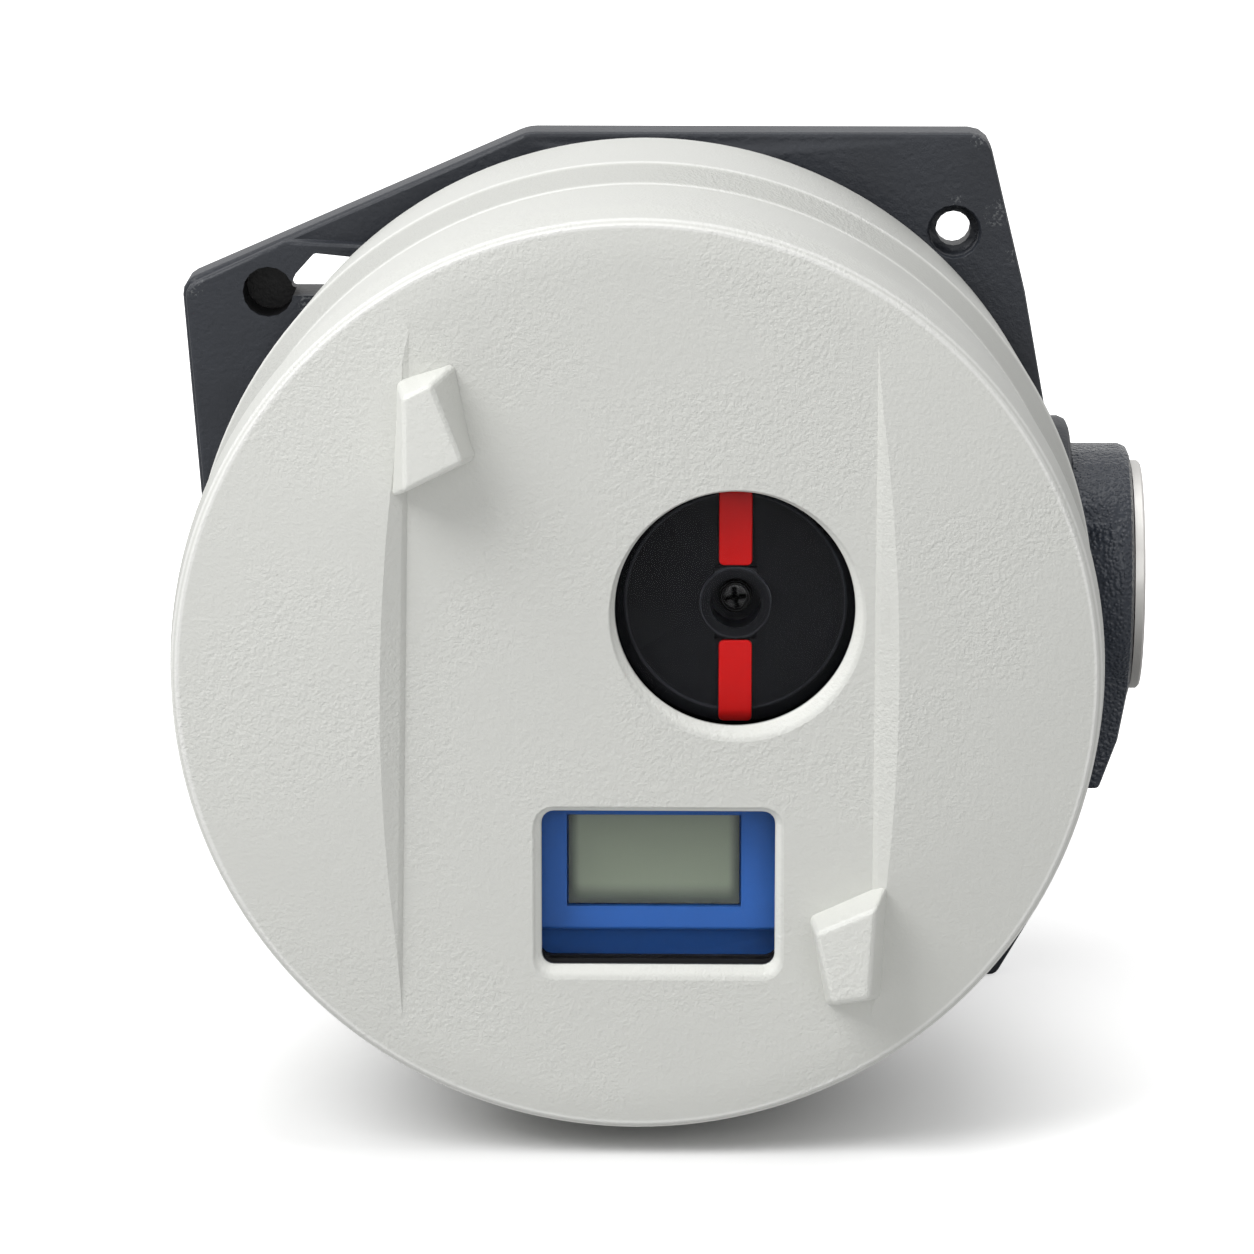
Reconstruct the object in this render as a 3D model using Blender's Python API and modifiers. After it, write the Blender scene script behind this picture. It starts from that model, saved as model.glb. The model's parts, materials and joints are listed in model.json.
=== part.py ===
"""Valve positioner: a screw-on cast cover over a cast housing with a feedback shaft.

Row frame: origin on the feedback shaft's axis at the rear mounting face, front towards -Y,
+Z up, +X towards the side entry. A height is the distance in front of the rear mounting face,
so a height h lies at y = -h. Places on the cover and the housing are given from the cover's axis.
"""
import bpy
import bmesh
from math import cos, pi, radians, sin, sqrt
from mathutils import Matrix, Vector

# Clearances
REST_GAP = 0.0003        # between pieces that rest on or in each other
RUN_GAP = 0.0001         # radial, between a turning shaft and its bush
SLIDE_GAP = 0.0004       # around a key or another sliding piece

# Driving heights in front of the rear mounting face
RIM_H = 0.160            # front rim plane of the cover
BAND_RISE = 0.0009       # flat band of the cover over the rim plane
DOME_RISE = 0.0049       # crown of the cover's face over the rim plane
FACE_WALL = 0.0054       # rim plane to the inner face of the cover's front wall
CEILING_H = RIM_H - FACE_WALL
PLATE_H = 0.045          # front of the back plate
PLATE_T = 0.011
PAD_RISE = 0.003         # thicker pad on the upper left ear
FLOOR_H = 0.040          # floor of the housing's cavity
NECK_L = 0.033           # neck of the housing, in front of the back plate
NECK_H = PLATE_H + NECK_L
SKIRT_H = PLATE_H + 0.008    # rear edge of the cover
SKIRT_CLEAR = 0.0013     # behind the cover's rear edge

# Cover
COVER_X = -0.017         # cover axis from the shaft axis
COVER_Z = -0.0126
THREAD_R = 0.0765        # bore of the skirt, over the housing's neck
SKIRT_WALL = 0.0030      # at the rear edge
SKIRT_FLARE = 0.0023     # growth from the rear edge to the step
SKIRT_END_R = THREAD_R + SKIRT_WALL
SKIRT_R = SKIRT_END_R + SKIRT_FLARE
STEP_RISE = 0.0030       # skirt over the drum
STEP_R = SKIRT_R - STEP_RISE
STEP_L = 0.008
FACE_R = 0.080
FACE_EDGE = 0.0008
DRUM_BULGE = 0.001       # drum over the rim, just behind it
BULGE_L = 0.010
DRUM_L = 0.050           # rim to the step
DRUM_WALL = 0.0038
CROWN_PARTS = 5
BORE_CLEAR = 0.0055      # skirt's bore in front of the neck
SKIRT_BORE_H = NECK_H + BORE_CLEAR
BAND_HALF = 0.0395       # half width of the flat band at mid height
BAND_SKEW = 0.0202       # sideways lean of the band's edges
BAND_FLARE = 0.0146      # how far the band's wall leans back at its lug end
BAND_REACH = 0.086
LUG_RISE = 0.0114        # over the rim plane
LUG_EDGE = 0.0007
LOCK_H = SKIRT_H + 0.0095
LOCK_R = 0.0021

# Seal of the cover
SEAL_R = 0.0008
SEAL_H = SKIRT_H + 0.0042
SEAL_GAP = 0.0002
GROOVE_DEPTH = 2 * SEAL_R + SEAL_GAP

# Housing
NECK_WALL = 0.0050
NECK_CLEAR = 0.0005      # radial, neck to cover
CAVITY_R = THREAD_R - NECK_CLEAR - NECK_WALL
RELIEF_CLEAR = 0.0010    # radial, castings beside the skirt
BODY_H = 0.006           # rear of the housing body
BODY_TOP_CLEAR = 0.007   # front of the housing body behind the plate's front
BODY_RIM = 0.0035        # corner radius step of the body's rear edge
PAD_HALF = 0.036         # rear mounting pad, half width
PAD_CORNER = 0.010
BOLT_CIRCLE = 0.050      # four M6 holes around the shaft
BOLT_CORE_R = 0.0025
BOLT_DEPTH = 0.012
EAR_HOLE_R = 0.0033
EAR_HOLE_SINK_R = 0.0047
EAR_HOLE_SINK = 0.005
LEFT_HOLE_R = 0.0048
LEFT_HOLE_DEPTH = 0.010

# Side entry
ENTRY_H = 0.032
ENTRY_Z = -0.0078        # from the cover axis
COLLAR_END = SKIRT_R - 0.0011
BOSS_L = 0.0117          # boss past the collar
ENTRY_END = COLLAR_END + BOSS_L
BOSS_ROOT = 0.052        # where the boss starts inside the body
BOSS_EDGE = 0.002
GUSSET_HALF = 0.018
BOSS_R = 0.0253
COLLAR_R = 0.0306
ENTRY_R = 0.0158
ENTRY_INNER = 0.055      # inner end of the bore, from the cover axis
ENTRY_SINK = 0.002
ENTRY_SINK_W = 0.0027
PLUG_R = 0.0220
PLUG_T = 0.0019
PLUG_L = 0.016

# Feedback shaft
SHAFT_R = 0.005
SHAFT_TAIL = 0.020       # behind the rear mounting face
SHAFT_STEM_R = 0.004
FLAT_DEPTH = 0.001
BUSH_WALL = 0.003
REAR_BUSH_H = 0.004
REAR_BUSH_L = 0.014
SHAFT_SEAL_L = 0.006
FRONT_BUSH_H = 0.040
FRONT_BUSH_L = 0.012
BUSH_BOSS_R = 0.0115
MAGNET_R = 0.011
MAGNET_L = 0.005
MAGNET_H = 0.0541

# Indicator
DISC_CLEAR = 0.0017      # disc behind the cover's front wall
DISC_TOP = CEILING_H - DISC_CLEAR
DISC_R = 0.0215
DISC_EDGE_R = 0.019
DISC_T = 0.0020
HUB_R = 0.0062
HUB_TOP = DISC_TOP + 0.0009
SHAFT_TOP = DISC_TOP - 0.0087
HUB_SINK_R = 0.0044
HUB_FLOOR = 0.0026
NECK_OVER = 0.0016       # hub's necks wider than the bars
BAR_W = 0.0057
BAR_T = 0.0007
BAR_START = 0.0066
BAR_END = 0.0212
SCREW_HEAD_R = 0.0029
SCREW_HEAD_T = 0.0018
SCREW_SHANK_R = 0.0012
SCREW_L = 0.009

# Windows in the cover
WINDOW_R = 0.0206
WINDOW_BEVEL = 0.0014
WINDOW_LAND = 0.0025     # wall left in front of the window seat
GLASS_T = 0.0018
GLASS_LAP = 0.0031       # glass edge past the opening
GASKET_T = 0.0004
RETAINER_T = 0.0011
RETAINER_LAP = 0.0018    # retainer seat past the glass seat
DISPLAY_X = 0.00385      # display opening, from the cover axis
DISPLAY_Z = -0.0362
DISPLAY_W = 0.0403
DISPLAY_D = 0.0264
DISPLAY_CORNER = 0.0021
DISPLAY_SLOPE = 1.25     # sideways run of the opening's bevel for its depth
DISPLAY_LAP = 0.0026
FRAME_SIDE = 0.0060      # retainer frame past the glass seat, at its screws
FRAME_END = 0.0020       # the same above and below
FRAME_HOLE_R = 0.0020
FRAME_SCREW_R = 0.0017
FRAME_SHANK_R = 0.0010
FRAME_SCREW_L = 0.0040

# Operator panel
PANEL_CLEAR = 0.0024     # panel behind the cover's front wall
PANEL_TOP_H = CEILING_H - PANEL_CLEAR
PANEL_T = 0.0195
KEY_STEP = 0.0052        # key ledge behind the panel's front
PANEL_KEY_H = PANEL_TOP_H - KEY_STEP
PANEL_X = 0.0030
PANEL_W = 0.050
PANEL_TOP_Z = -0.0185
PANEL_STEP_Z = -0.0462
PANEL_LOW_Z = -0.0640
PANEL_EDGE = 0.0006
PANEL_SCREW_Z = -0.0216
PANEL_SCREW_IN = 0.0035  # screws from the panel's sides
PANEL_SCREW_SINK = 0.0025
PANEL_SCREW_R = 0.0018
PANEL_SHANK_R = 0.0010
PANEL_SCREW_L = 0.008
LCD_W = 0.0297
LCD_D = 0.0159
LCD_Z = -0.0337
LCD_SINK = 0.0010
LCD_T = 0.0016
KEY_R = 0.0040
KEY_PITCH = 0.0118
KEY_Z = -0.0566
KEY_RISE = 0.0022
KEY_SINK = 0.0050
KEY_TRAVEL = 0.0008

# Electronics case
CASE_H = 0.0625
LID_T = 0.0036
CASE_LID_H = PANEL_TOP_H - PANEL_T - LID_T - 2 * REST_GAP
CASE_CLEAR = 0.0026      # case corners to the cavity's wall
CASE_LEFT = -0.029
CASE_MID = 0.030
CASE_RIGHT = 0.040
CASE_SCREW_R = 0.0022
CASE_SHANK_R = 0.0011
CASE_HEAD_T = 0.0018
CASE_SCREW_L = 0.010
BOARD_W = 0.034
BOARD_T = 0.0016
POST_R = 0.0045
SHAFT_WAY_R = 0.0075

# Spool valve
CONTENT_CLEAR = 0.0010   # valve, prestage and terminals to the cavity's wall
VALVE_Z = -0.012
VALVE_W = 0.026
VALVE_D = 0.050
VALVE_L = 0.055
VALVE_CORNER_Z = VALVE_D / 2 - VALVE_Z
VALVE_X = VALVE_W / 2 - sqrt((CAVITY_R - CONTENT_CLEAR) ** 2 - VALVE_CORNER_Z ** 2)
SPOOL_R = 0.004
SPOOL_TRAVEL = 0.0015
SPOOL_CAP_T = 0.003
VALVE_SCREW_R = 0.0030
VALVE_SHANK_R = 0.0015
VALVE_HEAD_T = 0.003
VALVE_SCREW_BITE = 0.003 # into the cavity's floor
VALVE_SCREW_IN = 0.0045  # valve screws from the block's sides
VALVE_SCREW_UP = 0.007   # valve screws from the block's ends

# Prestage
PILOT_R = 0.0128
PILOT_ANGLE = radians(140.3)
PILOT_X = (CAVITY_R - CONTENT_CLEAR - PILOT_R) * cos(PILOT_ANGLE)
PILOT_Z = (CAVITY_R - CONTENT_CLEAR - PILOT_R) * sin(PILOT_ANGLE)
PILOT_L = 0.034
PILOT_CAP_L = 0.009

# Terminal block
TERMINAL_Z = 0.022
TERMINAL_W = 0.014
TERMINAL_D = 0.028
TERMINAL_L = 0.018
TERMINAL_SINK = 0.003
TERMINAL_SCREW_R = 0.0027
TERMINAL_SHANK_R = 0.0014
TERMINAL_SCREW_L = 0.008
TERMINAL_TOP_Z = TERMINAL_Z + TERMINAL_D / 2
TERMINAL_X = sqrt((CAVITY_R - CONTENT_CLEAR) ** 2 - TERMINAL_TOP_Z ** 2) - TERMINAL_W / 2

# Pneumatic ports, along the bottom of the housing
PORT_H = 0.021
PORT_PITCH = 0.026
PORT_X = -0.014          # middle port, from the cover axis
PORT_R = 0.0063
PORT_BOSS_R = 0.0105
PORT_END_Z = -0.0700
PORT_DEPTH = 0.012
PORT_CAP_R = 0.0090
PORT_CAP_T = 0.0025
VENT_Z = -0.020
VENT_R = 0.0065
VENT_L = 0.007
VENT_LIP = 0.0012
EARTH_X = 0.040
EARTH_H = 0.021
EARTH_SHANK_R = 0.0020
EARTH_HEAD_R = 0.0045
EARTH_HEAD_T = 0.003
EARTH_SCREW_L = 0.010    # below the clamp's seat
CLAMP_R = 0.0060
CLAMP_T = 0.002

# Facets
RING_STEPS = 56
BOSS_STEPS = 32
WINDOW_STEPS = 40
SMALL_STEPS = 16
SCREW_STEPS = 10
CORNER_STEPS = 3
HALF_STEP = pi / RING_STEPS

# Directions of a turned solid's local +Z
FRONT = (pi / 2, 0.0, 0.0)          # -Y
SIDE = (0.0, pi / 2, 0.0)           # +X
LEFT = (0.0, -pi / 2, 0.0)          # -X
DOWN = (pi, 0.0, 0.0)               # -Z
TINY = 0.00001

for old in list(bpy.data.objects):
    bpy.data.objects.remove(old, do_unlink=True)

PARTS = bpy.data.collections.new("valve_positioner")
CUTTERS = bpy.data.collections.new("cutters")
bpy.context.scene.collection.children.link(PARTS)
bpy.context.scene.collection.children.link(CUTTERS)


def material(name, color, roughness, metallic=0.0):
    made = bpy.data.materials.new(name)
    made.use_nodes = True
    shader = made.node_tree.nodes["Principled BSDF"]
    shader.inputs["Base Color"].default_value = (*color, 1.0)
    shader.inputs["Roughness"].default_value = roughness
    shader.inputs["Metallic"].default_value = metallic
    return made


def from_cover(x, z, height):
    """A place given from the cover's axis, as a point of the row frame."""
    return Vector((COVER_X + x, -height, COVER_Z + z))


def keep(obj, name, finish, parent=None):
    """Names a finished piece, gives it its material and puts it with the parts."""
    obj.name = name
    obj.data.materials.clear()
    obj.data.materials.append(finish)
    PARTS.objects.link(obj)
    if parent is not None:
        obj.parent = parent
        obj.matrix_parent_inverse = parent.matrix_basis.inverted()
    return obj


def as_tool(obj, name):
    """Keeps a shape only for cutting or joining."""
    obj.name = name
    CUTTERS.objects.link(obj)
    obj.hide_render = True
    obj.display_type = 'WIRE'
    return obj


def combine(obj, tool, operation):
    step = obj.modifiers.new(tool.name, 'BOOLEAN')
    step.operation = operation
    step.solver = 'EXACT'
    step.object = tool


def cut(obj, tool, name):
    combine(obj, as_tool(tool, name), 'DIFFERENCE')


def join(obj, tool, name):
    combine(obj, as_tool(tool, name), 'UNION')


def turned(profile, steps, place, turn, closed=False, phase=0.0):
    """A turned solid: (radius, height) points, down the outer side, about local +Z.

    phase turns its facets, so that they don't meet those of a concentric piece edge on edge.
    """
    mesh = bpy.data.meshes.new("turned")
    verts = [(radius * cos(phase), radius * sin(phase), height) for radius, height in profile]
    edges = [(i, i + 1) for i in range(len(verts) - 1)]
    if closed:
        edges.append((len(verts) - 1, 0))
    mesh.from_pydata(verts, edges, [])
    obj = bpy.data.objects.new("turned", mesh)
    screw = obj.modifiers.new("turn", 'SCREW')
    screw.axis = 'Z'
    screw.angle = 2 * pi
    screw.steps = steps
    screw.render_steps = steps
    screw.use_merge_vertices = True
    screw.merge_threshold = TINY
    screw.use_smooth_shade = True
    obj.location = place
    obj.rotation_euler = turn
    return obj


def rod(radius, low, high, place, turn=FRONT, steps=SMALL_STEPS, edge=0.0, phase=0.0):
    """A turned rod between two heights, with chamfered ends where edge is given."""
    if edge:
        profile = [(0, high), (radius - edge, high), (radius, high - edge),
                   (radius, low + edge), (radius - edge, low), (0, low)]
    else:
        profile = [(0, high), (radius, high), (radius, low), (0, low)]
    return turned(profile, steps, place, turn, phase=phase)


def ring(inner, outer, low, high, place, turn=FRONT, steps=SMALL_STEPS):
    profile = [(inner, high), (outer, high), (outer, low), (inner, low)]
    return turned(profile, steps, place, turn, closed=True)


def rounded(corners, steps=CORNER_STEPS):
    """Outline from (x, y, corner radius) points, with an arc at each corner."""
    outline = []
    count = len(corners)
    for i, (x, y, radius) in enumerate(corners):
        here = Vector((x, y))
        to_last = (Vector(corners[i - 1][:2]) - here).normalized()
        to_next = (Vector(corners[(i + 1) % count][:2]) - here).normalized()
        if radius <= 0:
            outline.append(here)
            continue
        half = to_last.angle(to_next) / 2
        middle = (to_last + to_next).normalized()
        centre = here + middle * (radius / sin(half))
        first = here + to_last * (radius * cos(half) / sin(half)) - centre
        last = here + to_next * (radius * cos(half) / sin(half)) - centre
        sweep = first.angle_signed(last)
        for step in range(steps + 1):
            turn = Matrix.Rotation(-sweep * step / steps, 2)
            outline.append(centre + turn @ first)
    return [(point.x, point.y) for point in outline]


def rectangle(width, depth, corner, x=0.0, y=0.0, steps=CORNER_STEPS):
    half_w = width / 2
    half_d = depth / 2
    corners = [(x - half_w, y - half_d, corner), (x + half_w, y - half_d, corner),
               (x + half_w, y + half_d, corner), (x - half_w, y + half_d, corner)]
    return rounded(corners, steps)


def slab(outline, low, high, place, turn=FRONT, edge=0.0, segments=2):
    """A flat outline given thickness between two heights, with bevelled edges where edge is given."""
    curve = bpy.data.curves.new("outline", 'CURVE')
    curve.dimensions = '2D'
    curve.fill_mode = 'BOTH'
    curve.extrude = (high - low) / 2
    spline = curve.splines.new('POLY')
    spline.points.add(len(outline) - 1)
    for point, (x, y) in zip(spline.points, outline):
        point.co = (x, y, 0.0, 1.0)
    spline.use_cyclic_u = True
    drawn = bpy.data.objects.new("outline", curve)
    bpy.context.scene.collection.objects.link(drawn)
    bpy.context.view_layer.update()
    graph = bpy.context.evaluated_depsgraph_get()
    mesh = bpy.data.meshes.new_from_object(drawn.evaluated_get(graph))
    bpy.data.objects.remove(drawn, do_unlink=True)
    work = bmesh.new()
    work.from_mesh(mesh)
    bmesh.ops.remove_doubles(work, verts=work.verts, dist=TINY)
    bmesh.ops.translate(work, verts=work.verts, vec=(0, 0, (high + low) / 2))
    bmesh.ops.recalc_face_normals(work, faces=work.faces)
    bmesh.ops.dissolve_limit(work, angle_limit=radians(1), verts=work.verts, edges=work.edges)
    work.to_mesh(mesh)
    work.free()
    obj = bpy.data.objects.new("slab", mesh)
    obj.location = place
    obj.rotation_euler = turn
    if edge:
        bevel = obj.modifiers.new("edges", 'BEVEL')
        bevel.width = edge
        bevel.segments = segments
        bevel.limit_method = 'ANGLE'
        bevel.angle_limit = radians(50)
    return obj


def tapered(outline, low, high, grow, place):
    """A slab whose front outline is larger than its rear one by grow on every side."""
    obj = slab(outline, low, high, place)
    xs = [x for x, _ in outline]
    ys = [y for _, y in outline]
    middle = Vector(((min(xs) + max(xs)) / 2, (min(ys) + max(ys)) / 2))
    wide = Vector((max(xs) - min(xs), max(ys) - min(ys)))
    for vertex in obj.data.vertices:
        if vertex.co.z > (low + high) / 2:
            vertex.co.x = middle.x + (vertex.co.x - middle.x) * (1 + 2 * grow / wide.x)
            vertex.co.y = middle.y + (vertex.co.y - middle.y) * (1 + 2 * grow / wide.y)
    return obj


def block(low_face, high_face, low, high, place):
    """A six-sided solid from two four-cornered faces at two heights, in the front frame."""
    mesh = bpy.data.meshes.new("block")
    work = bmesh.new()
    bmesh.ops.create_cube(work, size=2.0)
    corner_of = {(-1, -1): 0, (1, -1): 1, (1, 1): 2, (-1, 1): 3}
    for vertex in work.verts:
        corner = corner_of[(round(vertex.co.x), round(vertex.co.y))]
        upper = vertex.co.z > 0
        x, y = (high_face if upper else low_face)[corner]
        vertex.co = (x, y, high if upper else low)
    bmesh.ops.recalc_face_normals(work, faces=work.faces)
    work.to_mesh(mesh)
    work.free()
    obj = bpy.data.objects.new("block", mesh)
    obj.location = place
    obj.rotation_euler = FRONT
    return obj


def around(points):
    """The same points turned half a turn about the cover's axis."""
    return [(-x, -y) for x, y in points]


AXIS = from_cover(0, 0, 0)                       # foot of the cover's axis
SHAFT = (-COVER_X, -COVER_Z)                     # shaft axis, from the cover axis
CASE_POSTS = [(-0.0252, -0.050), (0.032, -0.050), (0.032, 0.046), (-0.0252, 0.046)]
VALVE_SCREW_X = VALVE_W / 2 - VALVE_SCREW_IN
VALVE_SCREW_Z = VALVE_D / 2 - VALVE_SCREW_UP
VALVE_SCREWS = [(VALVE_X - VALVE_SCREW_X, VALVE_Z - VALVE_SCREW_Z),
                (VALVE_X + VALVE_SCREW_X, VALVE_Z + VALVE_SCREW_Z)]
PORT_PLACES = [PORT_X - PORT_PITCH, PORT_X, PORT_X + PORT_PITCH]

# Outlines of the housing seen from the front, from the cover axis: x, z, corner radius
PLATE_CORNERS = [
    (-0.0880, 0.0507, 0.0035), (-0.0225, 0.0793, 0.0080), (0.0641, 0.0793, 0.0045),
    (0.0714, 0.0493, 0.0), (0.0756, 0.0264, 0.0), (0.0772, -0.0681, 0.0040),
    (0.0676, -0.0847, 0.0020), (-0.0464, -0.0820, 0.0100), (-0.0815, -0.0366, 0.0100),
]
PAD_CORNERS = [
    (-0.0872, 0.0502, 0.0030), (-0.0679, 0.0591, 0.0040), (-0.0514, 0.0583, 0.0),
    (-0.0361, 0.0564, 0.0), (-0.0361, -0.0110, 0.0), (-0.0825, -0.0110, 0.0030),
]
LEFT_HOLE = (-0.0714, 0.0493)
WINDOW_CORNERS = [
    (-0.0682, 0.0486, 0.0008), (-0.0661, 0.0528, 0.0008), (-0.0626, 0.0567, 0.0010),
    (-0.0530, 0.0557, 0.0005), (-0.0585, 0.0486, 0.0005),
]
RIGHT_HOLE = (0.0579, 0.0606)
BODY_CORNERS = [
    (-0.060, -0.056, 0.010), (0.062, -0.056, 0.010), (0.066, 0.000, 0.0), (0.066, 0.044, 0.008),
    (0.044, 0.058, 0.008), (-0.034, 0.058, 0.008), (-0.060, 0.034, 0.008),
]
GUSSET_CORNERS = [
    (0.0607, -0.0180, 0.0), (ENTRY_END - 0.0003, -0.0180, 0.0), (ENTRY_END - 0.0003, -0.0257, 0.0060),
    (ENTRY_END - 0.0023, -0.0366, 0.0), (ENTRY_END - 0.0058, -0.0462, 0.0010), (0.0607, -0.0462, 0.0),
]
REAR_POCKETS = [
    [(-0.054, -0.011, 0.004), (-0.025, -0.011, 0.004), (-0.025, 0.040, 0.004), (-0.036, 0.050, 0.004),
     (-0.054, 0.030, 0.004)],
    [(-0.050, -0.048, 0.004), (-0.025, -0.048, 0.004), (-0.025, -0.030, 0.004), (-0.050, -0.030, 0.004)],
    [(-0.019, -0.048, 0.004), (0.030, -0.048, 0.004), (0.030, -0.030, 0.004), (-0.019, -0.030, 0.004)],
]


def case_reach(x):
    """How far the electronics case reaches along z at a place x, inside the cavity's round wall."""
    return sqrt((CAVITY_R - CASE_CLEAR) ** 2 - x ** 2)


CASE_LOWER = [(x, -case_reach(x), 0.003) for x in (CASE_LEFT, CASE_MID, CASE_RIGHT)]
CASE_UPPER = [(x, case_reach(x), 0.003) for x in (CASE_RIGHT, CASE_MID, CASE_LEFT)]
CASE_CORNERS = CASE_LOWER + CASE_UPPER
# Grip lug on the cover, from the cover axis: foot and flat top
LUG_FOOT = [(-0.0417, 0.0326), (-0.0270, 0.0392), (-0.0312, 0.0560), (-0.0404, 0.0528)]
LUG_TOP = [(-0.0390, 0.0349), (-0.0294, 0.0403), (-0.0340, 0.0536), (-0.0387, 0.0508)]

COVER_PAINT = material("cover_paint", (0.62, 0.62, 0.59), 0.55)
CAST_PAINT = material("cast_paint", (0.045, 0.052, 0.064), 0.42)
STEEL = material("stainless_steel", (0.62, 0.61, 0.59), 0.28, 1.0)
BRONZE = material("bush_bronze", (0.55, 0.38, 0.18), 0.35, 1.0)
SEAL_RUBBER = material("seal_rubber", (0.015, 0.015, 0.016), 0.7)
BLACK_PLASTIC = material("black_plastic", (0.012, 0.012, 0.014), 0.35)
RED_PLASTIC = material("red_plastic", (0.75, 0.02, 0.02), 0.35)
BLUE_PLASTIC = material("blue_plastic", (0.02, 0.10, 0.38), 0.4)
KEY_PLASTIC = material("key_plastic", (0.55, 0.56, 0.58), 0.5)
GREY_PLASTIC = material("grey_plastic", (0.25, 0.26, 0.27), 0.5)
DISPLAY_GLASS = material("display_glass", (0.19, 0.22, 0.16), 0.2)
CLEAR_GLASS = material("clear_glass", (0.9, 0.93, 0.95), 0.05)
CLEAR_GLASS.node_tree.nodes["Principled BSDF"].inputs["Alpha"].default_value = 0.25
ANODISED = material("anodised_aluminium", (0.55, 0.56, 0.57), 0.35, 1.0)
BOARD = material("circuit_board", (0.02, 0.18, 0.07), 0.5)


def axis_empty(name, place):
    empty = bpy.data.objects.new(name, None)
    empty.location = place
    PARTS.objects.link(empty)
    bpy.context.view_layer.update()
    return empty


def screw(name, x, z, seat, head_r, head_t, shank_r, shank_l, finish, parent=None, steps=SCREW_STEPS):
    """A screw whose head rests just in front of its seat, facing the front."""
    low = seat + REST_GAP
    edge = head_t * 0.3
    profile = [(0, low + head_t), (head_r - edge, low + head_t), (head_r, low + head_t - edge),
               (head_r, low), (shank_r, low), (shank_r, low - shank_l), (0, low - shank_l)]
    return keep(turned(profile, steps, from_cover(x, z, 0), FRONT), name, finish, parent)


def dome_height(radius):
    return RIM_H + DOME_RISE * (1 - (radius / FACE_R) ** 2)


# Housing casting


def housing_base():
    """Rear body, back plate, ear pad, side boss with its collar and gusset, and port bosses."""
    body = slab(rounded(BODY_CORNERS), BODY_H, PLATE_H - BODY_TOP_CLEAR, AXIS, edge=BODY_RIM)
    plate = slab(rounded(PLATE_CORNERS), PLATE_H - PLATE_T, PLATE_H, AXIS, edge=0.0010)
    join(body, plate, "plate")
    pad = slab(rounded(PAD_CORNERS), PLATE_H - 0.004, PLATE_H + PAD_RISE, AXIS, edge=0.0008)
    join(body, pad, "ear_pad")
    rear_pad = slab(rectangle(2 * PAD_HALF, 2 * PAD_HALF, PAD_CORNER, *SHAFT), 0, BODY_H + 0.006, AXIS)
    join(body, rear_pad, "rear_pad")
    edge = BOSS_EDGE
    boss = turned([(0, ENTRY_END), (BOSS_R - edge, ENTRY_END), (BOSS_R - edge * 0.3, ENTRY_END - edge * 0.3),
                   (BOSS_R, ENTRY_END - edge), (BOSS_R, COLLAR_END), (COLLAR_R - edge, COLLAR_END),
                   (COLLAR_R - edge * 0.3, COLLAR_END - edge * 0.3), (COLLAR_R, COLLAR_END - edge),
                   (COLLAR_R, BOSS_ROOT), (0, BOSS_ROOT)],
                  BOSS_STEPS, from_cover(0, ENTRY_Z, ENTRY_H), SIDE)
    join(body, boss, "boss")
    gusset = slab(rounded(GUSSET_CORNERS), ENTRY_H - GUSSET_HALF, ENTRY_H + GUSSET_HALF, AXIS, edge=0.0015)
    join(body, gusset, "gusset")
    end = -PORT_END_Z
    floor = end - PORT_DEPTH
    for x in PORT_PLACES:
        port = turned([(0, floor), (PORT_R, floor), (PORT_R, end), (PORT_BOSS_R - 0.0008, end),
                       (PORT_BOSS_R, end - 0.0008), (PORT_BOSS_R, 0.040), (0, 0.040)],
                      SMALL_STEPS, from_cover(x, 0, PORT_H), DOWN)
        join(body, port, "port_boss")
    return body


def housing_neck(body):
    """Clears the skirt's path, then adds the hollow neck with its bosses inside."""
    clear_h = SKIRT_H - SKIRT_CLEAR
    path = rod(SKIRT_R + RELIEF_CLEAR, clear_h, NECK_H + 0.010, AXIS, steps=RING_STEPS, phase=HALF_STEP)
    cut(body, path, "skirt_path")
    neck_r = THREAD_R - NECK_CLEAR
    neck = rod(neck_r, PLATE_H - 0.008, NECK_H, AXIS, steps=RING_STEPS, edge=0.0008)
    join(body, neck, "neck")
    cavity = rod(CAVITY_R, FLOOR_H, NECK_H + 0.005, AXIS, steps=RING_STEPS, phase=HALF_STEP)
    cut(body, cavity, "cavity")
    for x, z in CASE_POSTS:
        post = rod(POST_R, FLOOR_H - 0.002, CASE_H - REST_GAP, from_cover(x, z, 0), steps=SCREW_STEPS)
        join(body, post, "post")
    bush_boss = rod(BUSH_BOSS_R, FLOOR_H - 0.002, FRONT_BUSH_H + FRONT_BUSH_L, from_cover(*SHAFT, 0),
                    edge=0.0008)
    join(body, bush_boss, "bush_boss")


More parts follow.
